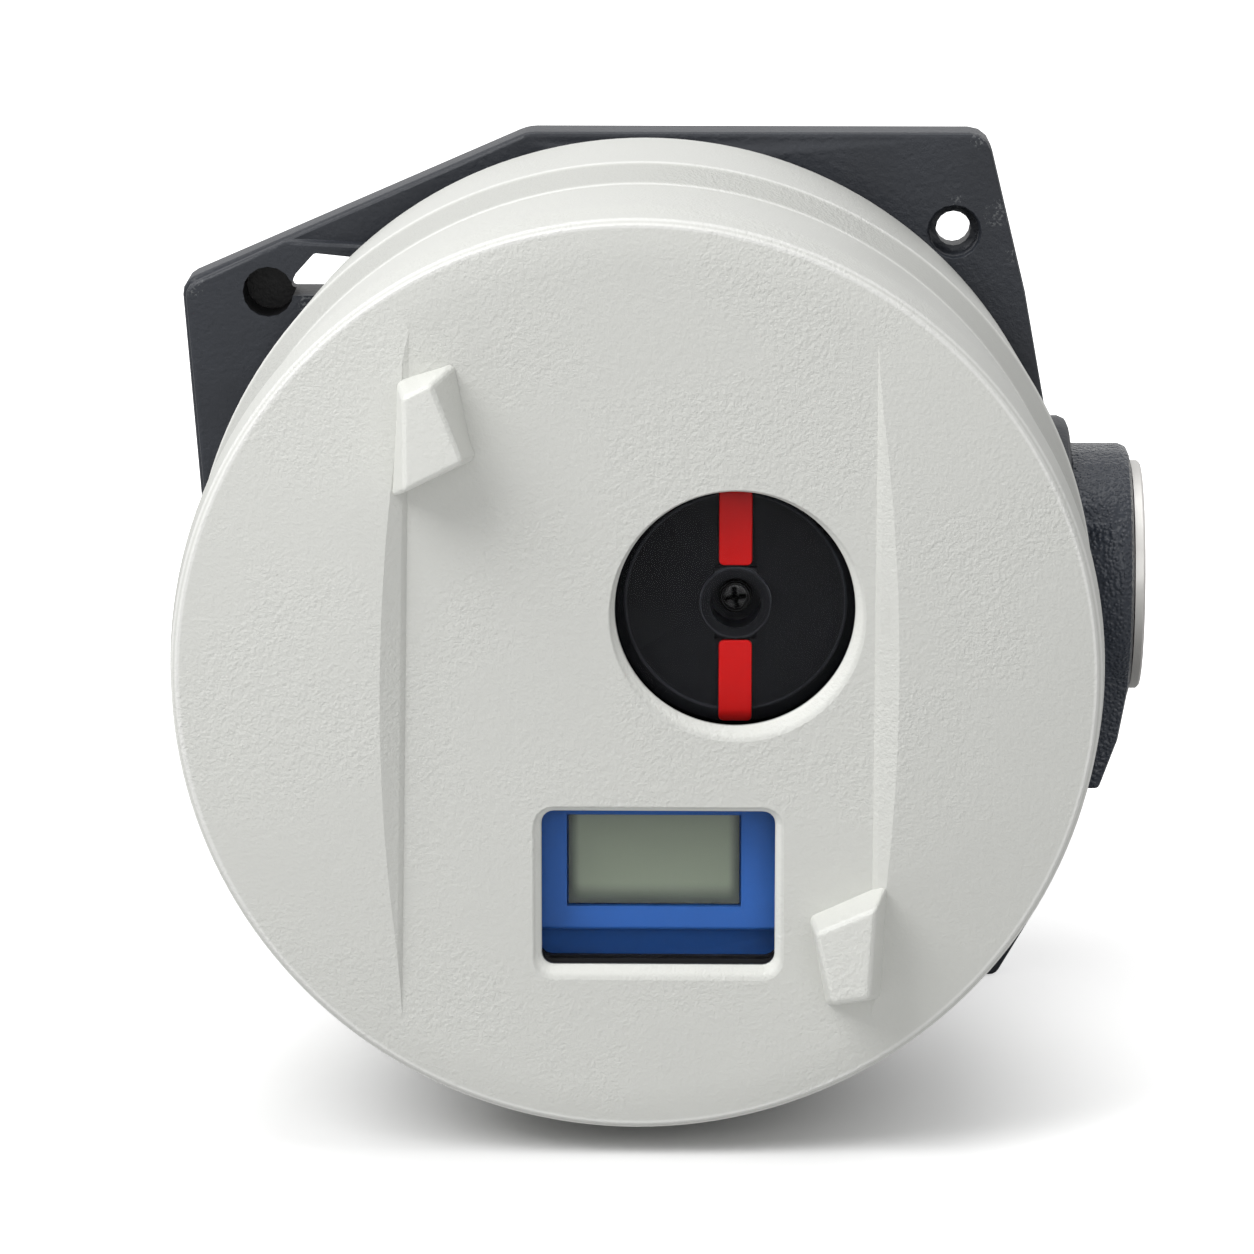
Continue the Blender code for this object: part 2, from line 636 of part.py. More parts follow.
def housing_holes(body):
    """Bores, mounting holes, ports and the pockets at the rear."""
    shaft_bore = SHAFT_R + RUN_GAP + BUSH_WALL + REST_GAP
    cut(body, rod(shaft_bore, -0.002, FRONT_BUSH_H + FRONT_BUSH_L + 0.002, from_cover(*SHAFT, 0),
                  phase=pi / SMALL_STEPS), "shaft_bore")
    sink_r = ENTRY_R + ENTRY_SINK_W
    sink_h = ENTRY_END - ENTRY_SINK
    bore = turned([(0, ENTRY_END + 0.002), (sink_r, ENTRY_END + 0.002), (sink_r, sink_h), (ENTRY_R, sink_h),
                   (ENTRY_R, ENTRY_INNER), (0, ENTRY_INNER)],
                  BOSS_STEPS, from_cover(0, ENTRY_Z, ENTRY_H), SIDE, phase=pi / BOSS_STEPS)
    cut(body, bore, "entry_bore")
    for quarter in range(4):
        angle = radians(45 + 90 * quarter)
        x = SHAFT[0] + BOLT_CIRCLE / 2 * cos(angle)
        z = SHAFT[1] + BOLT_CIRCLE / 2 * sin(angle)
        cut(body, rod(BOLT_CORE_R, -0.002, BOLT_DEPTH, from_cover(x, z, 0), steps=SCREW_STEPS), "bolt_hole")
    for outline in REAR_POCKETS:
        cut(body, slab(rounded(outline, 3), -0.002, 0.026, AXIS), "rear_pocket")
    sink_h = PLATE_H - EAR_HOLE_SINK
    ear_hole = turned([(0, PLATE_H + 0.002), (EAR_HOLE_SINK_R + 0.0025, PLATE_H + 0.002),
                       (EAR_HOLE_SINK_R, PLATE_H - 0.0005), (EAR_HOLE_SINK_R, sink_h), (EAR_HOLE_R, sink_h),
                       (EAR_HOLE_R, 0.020), (0, 0.020)], SMALL_STEPS, from_cover(*RIGHT_HOLE, 0), FRONT)
    cut(body, ear_hole, "ear_hole")
    pad_h = PLATE_H + PAD_RISE
    cut(body, rod(LEFT_HOLE_R, pad_h - LEFT_HOLE_DEPTH, pad_h + 0.002, from_cover(*LEFT_HOLE, 0)),
        "left_hole")
    cut(body, slab(rounded(WINDOW_CORNERS, 3), 0.020, pad_h + 0.002, AXIS), "ear_window")
    body_left = -BODY_CORNERS[0][0]
    vent_place = from_cover(0, VENT_Z, PORT_H)
    cut(body, rod(VENT_R - VENT_LIP, body_left - VENT_L, body_left + 0.002, vent_place, LEFT), "vent_hole")
    body_foot = -BODY_CORNERS[0][1]
    cut(body, rod(EARTH_SHANK_R + REST_GAP, body_foot - EARTH_SCREW_L, body_foot + 0.002,
                  from_cover(EARTH_X, 0, EARTH_H), DOWN, SCREW_STEPS), "earth_hole")
    for x, z in VALVE_SCREWS:
        hole = rod(VALVE_SHANK_R + SLIDE_GAP, FLOOR_H - VALVE_SCREW_BITE - 0.001, FLOOR_H + 0.002,
                   from_cover(x, z, 0), steps=SCREW_STEPS)
        cut(body, hole, "valve_hole")


def build_housing():
    body = housing_base()
    housing_neck(body)
    housing_holes(body)
    keep(body, "housing", CAST_PAINT)


# Side entry, ports, vent and earth screw


def build_entry():
    place = from_cover(0, ENTRY_Z, ENTRY_H)
    seat = ENTRY_END + REST_GAP
    shank_r = ENTRY_R - REST_GAP
    edge = 0.0004
    plug = turned([(0, seat + PLUG_T), (PLUG_R - edge, seat + PLUG_T), (PLUG_R, seat + PLUG_T - edge),
                   (PLUG_R, seat), (shank_r, seat), (shank_r, seat - PLUG_L + 0.001),
                   (shank_r - 0.001, seat - PLUG_L), (0, seat - PLUG_L)], BOSS_STEPS, place, SIDE)
    keep(plug, "entry_plug", STEEL)
    seal = ring(ENTRY_R + RUN_GAP, ENTRY_R + ENTRY_SINK_W - REST_GAP, ENTRY_END - ENTRY_SINK + REST_GAP,
                ENTRY_END - RUN_GAP, place, SIDE, BOSS_STEPS)
    keep(seal, "entry_seal", SEAL_RUBBER)


def build_port_plugs():
    names = ["port_plug_supply", "port_plug_left", "port_plug_right"]
    places = [PORT_PLACES[1], PORT_PLACES[0], PORT_PLACES[2]]
    for name, x in zip(names, places):
        seat = -PORT_END_Z + REST_GAP
        shank_r = PORT_R - REST_GAP
        plug = turned([(0, seat + PORT_CAP_T), (PORT_CAP_R - 0.0006, seat + PORT_CAP_T),
                       (PORT_CAP_R, seat + PORT_CAP_T - 0.0006), (PORT_CAP_R, seat), (shank_r, seat),
                       (shank_r, seat - PORT_DEPTH + 0.002), (0, seat - PORT_DEPTH + 0.002)],
                      SMALL_STEPS, from_cover(x, 0, PORT_H), DOWN)
        keep(plug, name, GREY_PLASTIC)


def build_vent():
    wall = -BODY_CORNERS[0][0]
    seat = wall + REST_GAP
    shank_r = VENT_R - VENT_LIP - REST_GAP
    vent = turned([(0, seat + VENT_L), (VENT_R - 0.002, seat + VENT_L), (VENT_R, seat + VENT_L - 0.002),
                   (VENT_R, seat), (shank_r, seat), (shank_r, seat - VENT_L + 0.001),
                   (0, seat - VENT_L + 0.001)],
                  SMALL_STEPS, from_cover(0, VENT_Z, PORT_H), LEFT)
    keep(vent, "exhaust_vent", BRONZE)


def build_earth():
    place = from_cover(EARTH_X, 0, EARTH_H)
    foot = -BODY_CORNERS[0][1] + REST_GAP
    clamp = ring(EARTH_SHANK_R + SLIDE_GAP, CLAMP_R, foot, foot + CLAMP_T, place, DOWN)
    keep(clamp, "earth_clamp", STEEL)
    seat = foot + CLAMP_T + REST_GAP
    end = seat - EARTH_SCREW_L
    bolt = turned([(0, seat + EARTH_HEAD_T), (EARTH_HEAD_R - 0.0005, seat + EARTH_HEAD_T),
                   (EARTH_HEAD_R, seat + EARTH_HEAD_T - 0.0005), (EARTH_HEAD_R, seat),
                   (EARTH_SHANK_R, seat), (EARTH_SHANK_R, end), (0, end)], SCREW_STEPS, place, DOWN)
    keep(bolt, "earth_screw", STEEL)


# Feedback shaft and its bearings


def build_bushes():
    place = from_cover(*SHAFT, 0)
    inner = SHAFT_R + RUN_GAP
    outer = inner + BUSH_WALL
    keep(ring(inner, outer, REAR_BUSH_H, REAR_BUSH_H + REAR_BUSH_L, place), "rear_bush", BRONZE)
    seal_h = REAR_BUSH_H + REAR_BUSH_L + REST_GAP
    keep(ring(inner + RUN_GAP, outer, seal_h, seal_h + SHAFT_SEAL_L, place), "shaft_seal", SEAL_RUBBER)
    keep(ring(inner, outer, FRONT_BUSH_H, FRONT_BUSH_H + FRONT_BUSH_L, place), "front_bush", BRONZE)


def build_shaft(axis):
    place = from_cover(*SHAFT, 0)
    shoulder = MAGNET_H - REST_GAP
    groove_low = FRONT_BUSH_H + FRONT_BUSH_L + REST_GAP
    clip_t = 0.0008
    groove_high = groove_low + clip_t + 2 * RUN_GAP
    groove_r = SHAFT_R - 0.0007
    shaft = turned([(0, SHAFT_TOP), (SHAFT_STEM_R - 0.0004, SHAFT_TOP), (SHAFT_STEM_R, SHAFT_TOP - 0.0004),
                    (SHAFT_STEM_R, shoulder), (SHAFT_R, shoulder), (SHAFT_R, groove_high),
                    (groove_r, groove_high), (groove_r, groove_low), (SHAFT_R, groove_low),
                    (SHAFT_R, -SHAFT_TAIL + 0.001), (SHAFT_R - 0.001, -SHAFT_TAIL), (0, -SHAFT_TAIL)],
                   SMALL_STEPS, place, FRONT)
    flat = slab(rectangle(0.020, 0.006, 0, 0, SHAFT_R - FLAT_DEPTH + 0.003), -SHAFT_TAIL - 0.001,
                -0.004, place)
    cut(shaft, flat, "shaft_flat")
    hole = rod(SCREW_SHANK_R + REST_GAP, SHAFT_TOP - SCREW_L, SHAFT_TOP + 0.001, place, steps=SCREW_STEPS)
    cut(shaft, hole, "shaft_screw_hole")
    keep(shaft, "feedback_shaft", STEEL, axis)
    clip = ring(groove_r + RUN_GAP, SHAFT_R + 0.0025, groove_low + RUN_GAP, groove_high - RUN_GAP, place)
    keep(clip, "shaft_circlip", STEEL, axis)
    magnet = ring(SHAFT_STEM_R + REST_GAP, MAGNET_R, MAGNET_H, MAGNET_H + MAGNET_L, place)
    keep(magnet, "sensor_magnet", ANODISED, axis)


def build_pointer(axis):
    """Black disc with a sunk hub and chamfered edge, its two red bars and the screw."""
    place = from_cover(*SHAFT, 0)
    low = SHAFT_TOP + REST_GAP
    floor = low + HUB_FLOOR
    under = DISC_TOP - DISC_T
    disc = turned([(HUB_SINK_R, floor), (HUB_SINK_R, HUB_TOP), (HUB_R, HUB_TOP), (HUB_R, DISC_TOP),
                   (DISC_EDGE_R, DISC_TOP), (DISC_R, DISC_TOP - 0.0014), (DISC_R, under - 0.0010),
                   (DISC_R - 0.0012, under - 0.0010), (DISC_R - 0.0022, under), (HUB_R, under),
                   (HUB_R, low), (SCREW_SHANK_R + REST_GAP, low), (SCREW_SHANK_R + REST_GAP, floor)],
                  WINDOW_STEPS, place, FRONT, closed=True)
    neck_w = BAR_W + NECK_OVER
    for side in (-1, 1):
        middle = side * (HUB_SINK_R + 0.0003 + BAR_START - REST_GAP) / 2
        depth = BAR_START - REST_GAP - HUB_SINK_R - 0.0003
        neck = slab(rectangle(neck_w, depth, 0, 0, middle), under + 0.0005, HUB_TOP - 0.0002, place)
        join(disc, neck, "hub_neck")
    keep(disc, "pointer_disc", BLACK_PLASTIC, axis)
    for name, side in (("pointer_bar_upper", 1), ("pointer_bar_lower", -1)):
        base = DISC_TOP + REST_GAP
        profile = [(-base, side * BAR_START), (-base - BAR_T, side * BAR_START),
                   (-base - BAR_T, side * (DISC_EDGE_R - 0.0002)), (-base + 0.0009, side * BAR_END),
                   (-base + 0.0014, side * BAR_END), (-base, side * (DISC_EDGE_R + 0.0002))]
        bar = slab(profile, -BAR_W / 2, BAR_W / 2, place, (pi / 2, 0, pi / 2))
        keep(bar, name, RED_PLASTIC, axis)
    screw("pointer_screw", *SHAFT, floor, SCREW_HEAD_R, SCREW_HEAD_T, SCREW_SHANK_R,
          SCREW_L, STEEL, axis, steps=16)


# Cover with its two windows


def cover_profile():
    groove_half = SEAL_R + 0.00025
    groove_r = THREAD_R + GROOVE_DEPTH
    step_h = RIM_H - DRUM_L
    inner_r = STEP_R - DRUM_WALL
    edge_r = FACE_R - FACE_EDGE
    radii = [edge_r * sqrt(part / CROWN_PARTS) for part in range(CROWN_PARTS + 1)]
    crown = [(radius, dome_height(radius)) for radius in radii]
    return crown + [
        (FACE_R, RIM_H - FACE_EDGE), (FACE_R + DRUM_BULGE, RIM_H - BULGE_L), (STEP_R, step_h),
        (SKIRT_R, step_h - STEP_L), (SKIRT_END_R, SKIRT_H + 0.0006), (SKIRT_END_R - 0.0006, SKIRT_H),
        (THREAD_R, SKIRT_H), (THREAD_R, SEAL_H - groove_half), (groove_r, SEAL_H - groove_half),
        (groove_r, SEAL_H + groove_half), (THREAD_R, SEAL_H + groove_half), (THREAD_R, SKIRT_BORE_H),
        (inner_r, SKIRT_BORE_H + 0.004), (inner_r, CEILING_H - 0.003), (inner_r - 0.003, CEILING_H),
        (0, CEILING_H)]


def cover_face(cover):
    """The recessed band with its wedge-shaped walls, and the two grip lugs."""
    band_h = RIM_H + BAND_RISE
    reach = BAND_REACH
    lean = BAND_SKEW * reach
    low_face = [(-BAND_HALF - lean, -reach), (BAND_HALF - lean, -reach), (BAND_HALF + lean, reach),
                (-BAND_HALF + lean, reach)]
    high_face = [(-BAND_HALF - lean, -reach), (BAND_HALF - lean + BAND_FLARE, -reach),
                 (BAND_HALF + lean, reach), (-BAND_HALF + lean - BAND_FLARE, reach)]
    cut(cover, block(low_face, high_face, band_h, RIM_H + DOME_RISE + 0.0011, AXIS), "band")
    lugs = [("left_lug", LUG_FOOT, LUG_TOP), ("right_lug", around(LUG_FOOT), around(LUG_TOP))]
    for name, foot, top in lugs:
        lug = block(foot, top, RIM_H - 0.002, RIM_H + LUG_RISE, AXIS)
        bevel = lug.modifiers.new("edges", 'BEVEL')
        bevel.width = LUG_EDGE
        bevel.segments = 2
        join(cover, lug, name)


def cover_openings(cover):
    band_h = RIM_H + BAND_RISE
    flare = 0.004
    low = CEILING_H - 0.001
    seat_h = band_h - WINDOW_LAND
    retainer_h = CEILING_H + RETAINER_T + REST_GAP
    glass_r = WINDOW_R + GLASS_LAP
    retainer_r = glass_r + RETAINER_LAP
    window = turned([(0, band_h - WINDOW_BEVEL + flare), (WINDOW_R + flare, band_h - WINDOW_BEVEL + flare),
                     (WINDOW_R, band_h - WINDOW_BEVEL), (WINDOW_R, seat_h), (glass_r, seat_h),
                     (glass_r, retainer_h), (retainer_r, retainer_h), (retainer_r, low), (0, low)],
                    WINDOW_STEPS, from_cover(*SHAFT, 0), FRONT)
    cut(cover, window, "window_opening")
    opening = rectangle(DISPLAY_W, DISPLAY_D, DISPLAY_CORNER, DISPLAY_X, DISPLAY_Z)
    cut(cover, slab(opening, low, band_h + flare, AXIS), "display_hole")
    edge = band_h - WINDOW_BEVEL
    cut(cover, tapered(opening, edge, edge + flare, flare * DISPLAY_SLOPE, AXIS), "display_bevel")
    seat = rectangle(DISPLAY_W + 2 * DISPLAY_LAP, DISPLAY_D + 2 * DISPLAY_LAP, DISPLAY_CORNER,
                     DISPLAY_X, DISPLAY_Z)
    cut(cover, slab(seat, low, seat_h, AXIS), "display_seat")
    cut(cover, slab(display_frame_outline(0.0), low, retainer_h, AXIS), "display_retainer_seat")
    for side in (-1, 1):
        hole = rod(FRAME_SHANK_R + REST_GAP, low, CEILING_H + FRAME_SCREW_L + 0.0002,
                   display_screw_place(side), steps=SCREW_STEPS)
        cut(cover, hole, "display_screw_hole")
    lock = from_cover(0, 0, LOCK_H)
    hole = rod(LOCK_R + REST_GAP, THREAD_R - 0.003, SKIRT_R + 0.003, lock, DOWN, SCREW_STEPS)
    cut(cover, hole, "lock_hole")


def display_frame_outline(gap):
    """Outer outline of the display window's retainer frame, smaller than its seat by gap."""
    width = DISPLAY_W + 2 * (DISPLAY_LAP + FRAME_SIDE - gap)
    depth = DISPLAY_D + 2 * (DISPLAY_LAP + FRAME_END - gap)
    return rectangle(width, depth, DISPLAY_CORNER, DISPLAY_X, DISPLAY_Z)


def display_screw_place(side):
    x = DISPLAY_X + side * (DISPLAY_W + 2 * DISPLAY_LAP + FRAME_SIDE) / 2
    return from_cover(x, DISPLAY_Z, 0)


def build_cover(axis):
    cover = turned(cover_profile(), RING_STEPS, AXIS, FRONT)
    cover_face(cover)
    cover_openings(cover)
    keep(cover, "cover", COVER_PAINT, axis)
    lock = rod(LOCK_R, THREAD_R + 0.0002, SKIRT_END_R - 0.0002, from_cover(0, 0, LOCK_H), DOWN,
               SCREW_STEPS)
    keep(lock, "cover_lock_screw", STEEL, axis)


def build_indicator_window(axis):
    place = from_cover(*SHAFT, 0)
    seat_h = RIM_H + BAND_RISE - WINDOW_LAND
    outer = WINDOW_R + GLASS_LAP - REST_GAP
    gasket_h = seat_h - RUN_GAP - GASKET_T
    keep(ring(WINDOW_R + 0.0004, outer, gasket_h, gasket_h + GASKET_T, place, steps=WINDOW_STEPS),
         "window_gasket", SEAL_RUBBER, axis)
    glass_h = gasket_h - RUN_GAP - GLASS_T
    glass = rod(outer, glass_h, glass_h + GLASS_T, place, steps=WINDOW_STEPS)
    keep(glass, "indicator_window", CLEAR_GLASS, axis)
    retainer = ring(WINDOW_R + 0.0008, outer + RETAINER_LAP, CEILING_H, CEILING_H + RETAINER_T, place,
                    steps=WINDOW_STEPS)
    keep(retainer, "window_retainer", ANODISED, axis)


def build_display_window(axis):
    seat_h = RIM_H + BAND_RISE - WINDOW_LAND
    inner_w = DISPLAY_W + 0.0008
    inner_d = DISPLAY_D + 0.0008
    outer_w = DISPLAY_W + 2 * (DISPLAY_LAP - REST_GAP)
    outer_d = DISPLAY_D + 2 * (DISPLAY_LAP - REST_GAP)
    outline = rectangle(outer_w, outer_d, DISPLAY_CORNER, DISPLAY_X, DISPLAY_Z)
    opening = rectangle(inner_w, inner_d, DISPLAY_CORNER, DISPLAY_X, DISPLAY_Z)
    gasket_h = seat_h - RUN_GAP - GASKET_T
    gasket = slab(outline, gasket_h, gasket_h + GASKET_T, AXIS)
    cut(gasket, slab(opening, gasket_h - 0.001, seat_h + 0.001, AXIS), "gasket_opening")
    keep(gasket, "display_gasket", SEAL_RUBBER, axis)
    glass_h = gasket_h - RUN_GAP - GLASS_T
    keep(slab(outline, glass_h, glass_h + GLASS_T, AXIS), "display_window", CLEAR_GLASS, axis)
    frame = slab(display_frame_outline(REST_GAP), CEILING_H, CEILING_H + RETAINER_T, AXIS)
    cut(frame, slab(opening, CEILING_H - 0.001, CEILING_H + 0.003, AXIS), "frame_opening")
    for side in (-1, 1):
        hole = rod(FRAME_HOLE_R, CEILING_H - 0.001, CEILING_H + 0.003, display_screw_place(side),
                   steps=SCREW_STEPS)
        cut(frame, hole, "frame_screw_hole")
    keep(frame, "display_retainer", ANODISED, axis)
    low = CEILING_H + RUN_GAP
    neck = CEILING_H + RETAINER_T
    high = CEILING_H + FRAME_SCREW_L
    for name, side in (("display_retainer_screw_left", -1), ("display_retainer_screw_right", 1)):
        bolt = turned([(0, high), (FRAME_SHANK_R, high), (FRAME_SHANK_R, neck), (FRAME_SCREW_R, neck),
                       (FRAME_SCREW_R, low), (0, low)], SCREW_STEPS, display_screw_place(side), FRONT)
        keep(bolt, name, STEEL, axis)


def build_cover_seal(axis):
    centre_r = THREAD_R + GROOVE_DEPTH - SEAL_R - SEAL_GAP
    sides = 5
    section = [(centre_r + SEAL_R * cos(angle), SEAL_H - SEAL_R * sin(angle))
               for angle in (2 * pi * i / sides for i in range(sides))]
    seal = turned(section, RING_STEPS, AXIS, FRONT, closed=True)
    keep(seal, "cover_seal", SEAL_RUBBER, axis)


# Electronics and operator panel


def build_case():
    way = rod(SHAFT_WAY_R, CASE_H - 0.004, CASE_LID_H + LID_T + 0.004, from_cover(*SHAFT, 0))
    case = slab(rounded(CASE_CORNERS), CASE_H, CASE_LID_H, AXIS)
    cut(case, way, "case_way")
    lid_h = CASE_LID_H + REST_GAP
    lid = slab(rounded(CASE_CORNERS), lid_h, lid_h + LID_T, AXIS, edge=0.0008, segments=1)
    combine(lid, way, 'DIFFERENCE')
    for x, z in CASE_POSTS:
        hole = rod(CASE_SHANK_R + REST_GAP, CASE_LID_H - 0.009, lid_h + LID_T + 0.001,
                   from_cover(x, z, 0), steps=SCREW_STEPS)
        cut(case, hole, "case_screw_hole")
        combine(lid, hole, 'DIFFERENCE')
    keep(case, "electronics_case", BLACK_PLASTIC)
    keep(lid, "electronics_cover", BLACK_PLASTIC)
    for number, (x, z) in enumerate(CASE_POSTS, 1):
        screw("case_screw_%d" % number, x, z, lid_h + LID_T, CASE_SCREW_R, CASE_HEAD_T,
              CASE_SHANK_R, CASE_SCREW_L, STEEL)
    board_h = CASE_H - REST_GAP - BOARD_T
    board = slab(rectangle(BOARD_W, BOARD_W, 0.002, *SHAFT, 2), board_h, board_h + BOARD_T, AXIS)
    combine(board, way, 'DIFFERENCE')
    keep(board, "sensor_board", BOARD)


def panel_back():
    return PANEL_TOP_H - PANEL_T


def build_panel():
    """Stepped blue panel on the case's lid, with the display and the sunk places of the keys."""
    back = panel_back()
    profile = [(-back, PANEL_LOW_Z), (-PANEL_KEY_H, PANEL_LOW_Z), (-PANEL_KEY_H, PANEL_STEP_Z - 0.0016),
               (-PANEL_KEY_H - 0.0010, PANEL_STEP_Z - 0.0006), (-PANEL_TOP_H, PANEL_STEP_Z),
               (-PANEL_TOP_H, PANEL_TOP_Z), (-back, PANEL_TOP_Z)]
    place = from_cover(PANEL_X, 0, 0)
    panel = slab(profile, -PANEL_W / 2, PANEL_W / 2, place, (pi / 2, 0, pi / 2), edge=PANEL_EDGE)
    window = rectangle(LCD_W + 2 * REST_GAP, LCD_D + 2 * REST_GAP, 0, PANEL_X, LCD_Z)
    lcd_h = PANEL_TOP_H - LCD_SINK - LCD_T
    cut(panel, slab(window, lcd_h - REST_GAP, PANEL_TOP_H + 0.001, AXIS), "lcd_recess")
    key_low = PANEL_KEY_H - KEY_SINK
    for x in key_places():
        well = rod(KEY_R + SLIDE_GAP, key_low - KEY_TRAVEL - REST_GAP, PANEL_KEY_H + 0.001,
                   from_cover(x, KEY_Z, 0))
        cut(panel, well, "key_well")
    seat = PANEL_TOP_H - PANEL_SCREW_SINK
    for x in panel_screw_places():
        spot = from_cover(x, PANEL_SCREW_Z, 0)
        sink = rod(PANEL_SCREW_R + SLIDE_GAP, seat, PANEL_TOP_H + 0.001, spot, steps=SCREW_STEPS)
        cut(panel, sink, "screw_sink")
        way = rod(PANEL_SHANK_R + REST_GAP, seat - PANEL_SCREW_L - 0.0005, seat + 0.001, spot,
                  steps=SCREW_STEPS)
        cut(panel, way, "screw_way")
    keep(panel, "operator_panel", BLUE_PLASTIC)
    lcd = slab(rectangle(LCD_W, LCD_D, 0, PANEL_X, LCD_Z), lcd_h, lcd_h + LCD_T, AXIS)
    keep(lcd, "display", DISPLAY_GLASS)
    for name, x in zip(("panel_screw_left", "panel_screw_right"), panel_screw_places()):
        screw(name, x, PANEL_SCREW_Z, seat, PANEL_SCREW_R, 0.0013, PANEL_SHANK_R, PANEL_SCREW_L, STEEL)


def panel_screw_places():
    return [PANEL_X - PANEL_W / 2 + PANEL_SCREW_IN, PANEL_X + PANEL_W / 2 - PANEL_SCREW_IN]


def key_places():
    return [PANEL_X + (i - 1.5) * KEY_PITCH for i in range(4)]


def build_keys():
    low = PANEL_KEY_H - KEY_SINK
    high = PANEL_KEY_H + KEY_RISE
    for number, x in enumerate(key_places(), 1):
        place = from_cover(x, KEY_Z, 0)
        key = turned([(0, high), (KEY_R - 0.0008, high), (KEY_R, high - 0.0008), (KEY_R, low), (0, low)],
                     SMALL_STEPS, place, FRONT)
        keep(key, "key_%d" % number, KEY_PLASTIC)


# Pneumatics and wiring


def build_valve():
    low = FLOOR_H + REST_GAP
    high = low + VALVE_L
    middle = (low + high) / 2
    valve = slab(rectangle(VALVE_W, VALVE_D, 0.002, VALVE_X, VALVE_Z, 2), low, high, AXIS, edge=0.0006)
    reach = VALVE_D / 2 + 0.002
    bore = rod(SPOOL_R + RUN_GAP, -reach, reach, from_cover(VALVE_X, VALVE_Z, middle), (0, 0, 0))
    cut(valve, bore, "spool_bore")
    for x, z in VALVE_SCREWS:
        way = rod(VALVE_SHANK_R + SLIDE_GAP, low - 0.001, high + 0.001, from_cover(x, z, 0),
                  steps=SCREW_STEPS)
        cut(valve, way, "valve_screw_way")
    keep(valve, "spool_valve_block", ANODISED)
    cap_low = VALVE_D / 2 + REST_GAP
    for name, turn in (("spool_cap_upper", (0, 0, 0)), ("spool_cap_lower", DOWN)):
        cap = rod(0.0075, cap_low, cap_low + SPOOL_CAP_T, from_cover(VALVE_X, VALVE_Z, middle), turn,
                  edge=0.0005)
        keep(cap, name, ANODISED)
    half = VALVE_D / 2 + REST_GAP - SPOOL_TRAVEL - REST_GAP
    waist_r = SPOOL_R - 0.0012
    land = 0.006
    lands = [(0, half), (SPOOL_R, half), (SPOOL_R, half - land), (waist_r, half - land),
             (waist_r, land / 2), (SPOOL_R, land / 2), (SPOOL_R, -land / 2), (waist_r, -land / 2),
             (waist_r, land - half), (SPOOL_R, land - half), (SPOOL_R, -half), (0, -half)]
    keep(turned(lands, SMALL_STEPS, from_cover(VALVE_X, VALVE_Z, middle), (0, 0, 0)), "spool", STEEL)
    for number, (x, z) in enumerate(VALVE_SCREWS, 1):
        screw("valve_screw_%d" % number, x, z, high, VALVE_SCREW_R, VALVE_HEAD_T, VALVE_SHANK_R,
              VALVE_L + VALVE_SCREW_BITE, STEEL)


def build_pilot():
    place = from_cover(PILOT_X, PILOT_Z, 0)
    low = FLOOR_H + REST_GAP
    body = turned([(0, low + PILOT_L), (PILOT_R - 0.003, low + PILOT_L),
                   (PILOT_R - 0.003, low + PILOT_L - 0.003),
                   (PILOT_R, low + PILOT_L - 0.003), (PILOT_R, low), (0, low)], SMALL_STEPS, place, FRONT)
    keep(body, "prestage_unit", ANODISED)
    cap_h = low + PILOT_L + REST_GAP
    cap = turned([(0, cap_h + PILOT_CAP_L), (PILOT_R - 0.006, cap_h + PILOT_CAP_L),
                  (PILOT_R - 0.004, cap_h + PILOT_CAP_L - 0.002), (PILOT_R - 0.004, cap_h), (0, cap_h)],
                 SMALL_STEPS, place, FRONT)
    keep(cap, "prestage_cap", BLACK_PLASTIC)


def build_terminals():
    low = FLOOR_H + REST_GAP
    high = low + TERMINAL_L
    terminal = slab(rectangle(TERMINAL_W, TERMINAL_D, 0.001, TERMINAL_X, TERMINAL_Z, 2), low, high, AXIS,
                    edge=0.0005)
    places = [(TERMINAL_X, TERMINAL_Z - TERMINAL_D / 4), (TERMINAL_X, TERMINAL_Z + TERMINAL_D / 4)]
    for x, z in places:
        spot = from_cover(x, z, 0)
        sink = rod(TERMINAL_SCREW_R + SLIDE_GAP, high - TERMINAL_SINK, high + 0.001, spot)
        cut(terminal, sink, "terminal_sink")
        hole = rod(TERMINAL_SHANK_R + SLIDE_GAP, high - TERMINAL_SINK - TERMINAL_SCREW_L - 0.001, high, spot,
                   steps=SCREW_STEPS)
        cut(terminal, hole, "terminal_hole")
    keep(terminal, "terminal_block", GREY_PLASTIC)
    for number, (x, z) in enumerate(places, 1):
        screw("terminal_screw_%d" % number, x, z, high - TERMINAL_SINK, TERMINAL_SCREW_R, 0.0018,
              TERMINAL_SHANK_R, TERMINAL_SCREW_L, STEEL)


build_housing()
build_entry()
build_port_plugs()
build_vent()
build_earth()
build_bushes()
shaft_axis = axis_empty("shaft_axis", (0.0, 0.0, 0.0))
build_shaft(shaft_axis)
build_pointer(shaft_axis)
cover_axis = axis_empty("cover_axis", AXIS)
build_cover(cover_axis)
build_indicator_window(cover_axis)
build_display_window(cover_axis)
build_cover_seal(cover_axis)
build_case()
build_panel()
build_keys()
build_valve()
build_pilot()
build_terminals()
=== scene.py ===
"""Looks of the valve positioner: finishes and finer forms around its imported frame.

Metres in the row frame: origin on the feedback shaft's axis at the rear mounting face, front
towards -Y, +Z up. A height is the distance in front of the rear face, so a height h lies at
y = -h. Pieces are shaped with their height along +Z and then turned to face the front.
"""
import json
from math import cos, pi, radians, sin

import bmesh
import bpy
from mathutils import Matrix, Vector

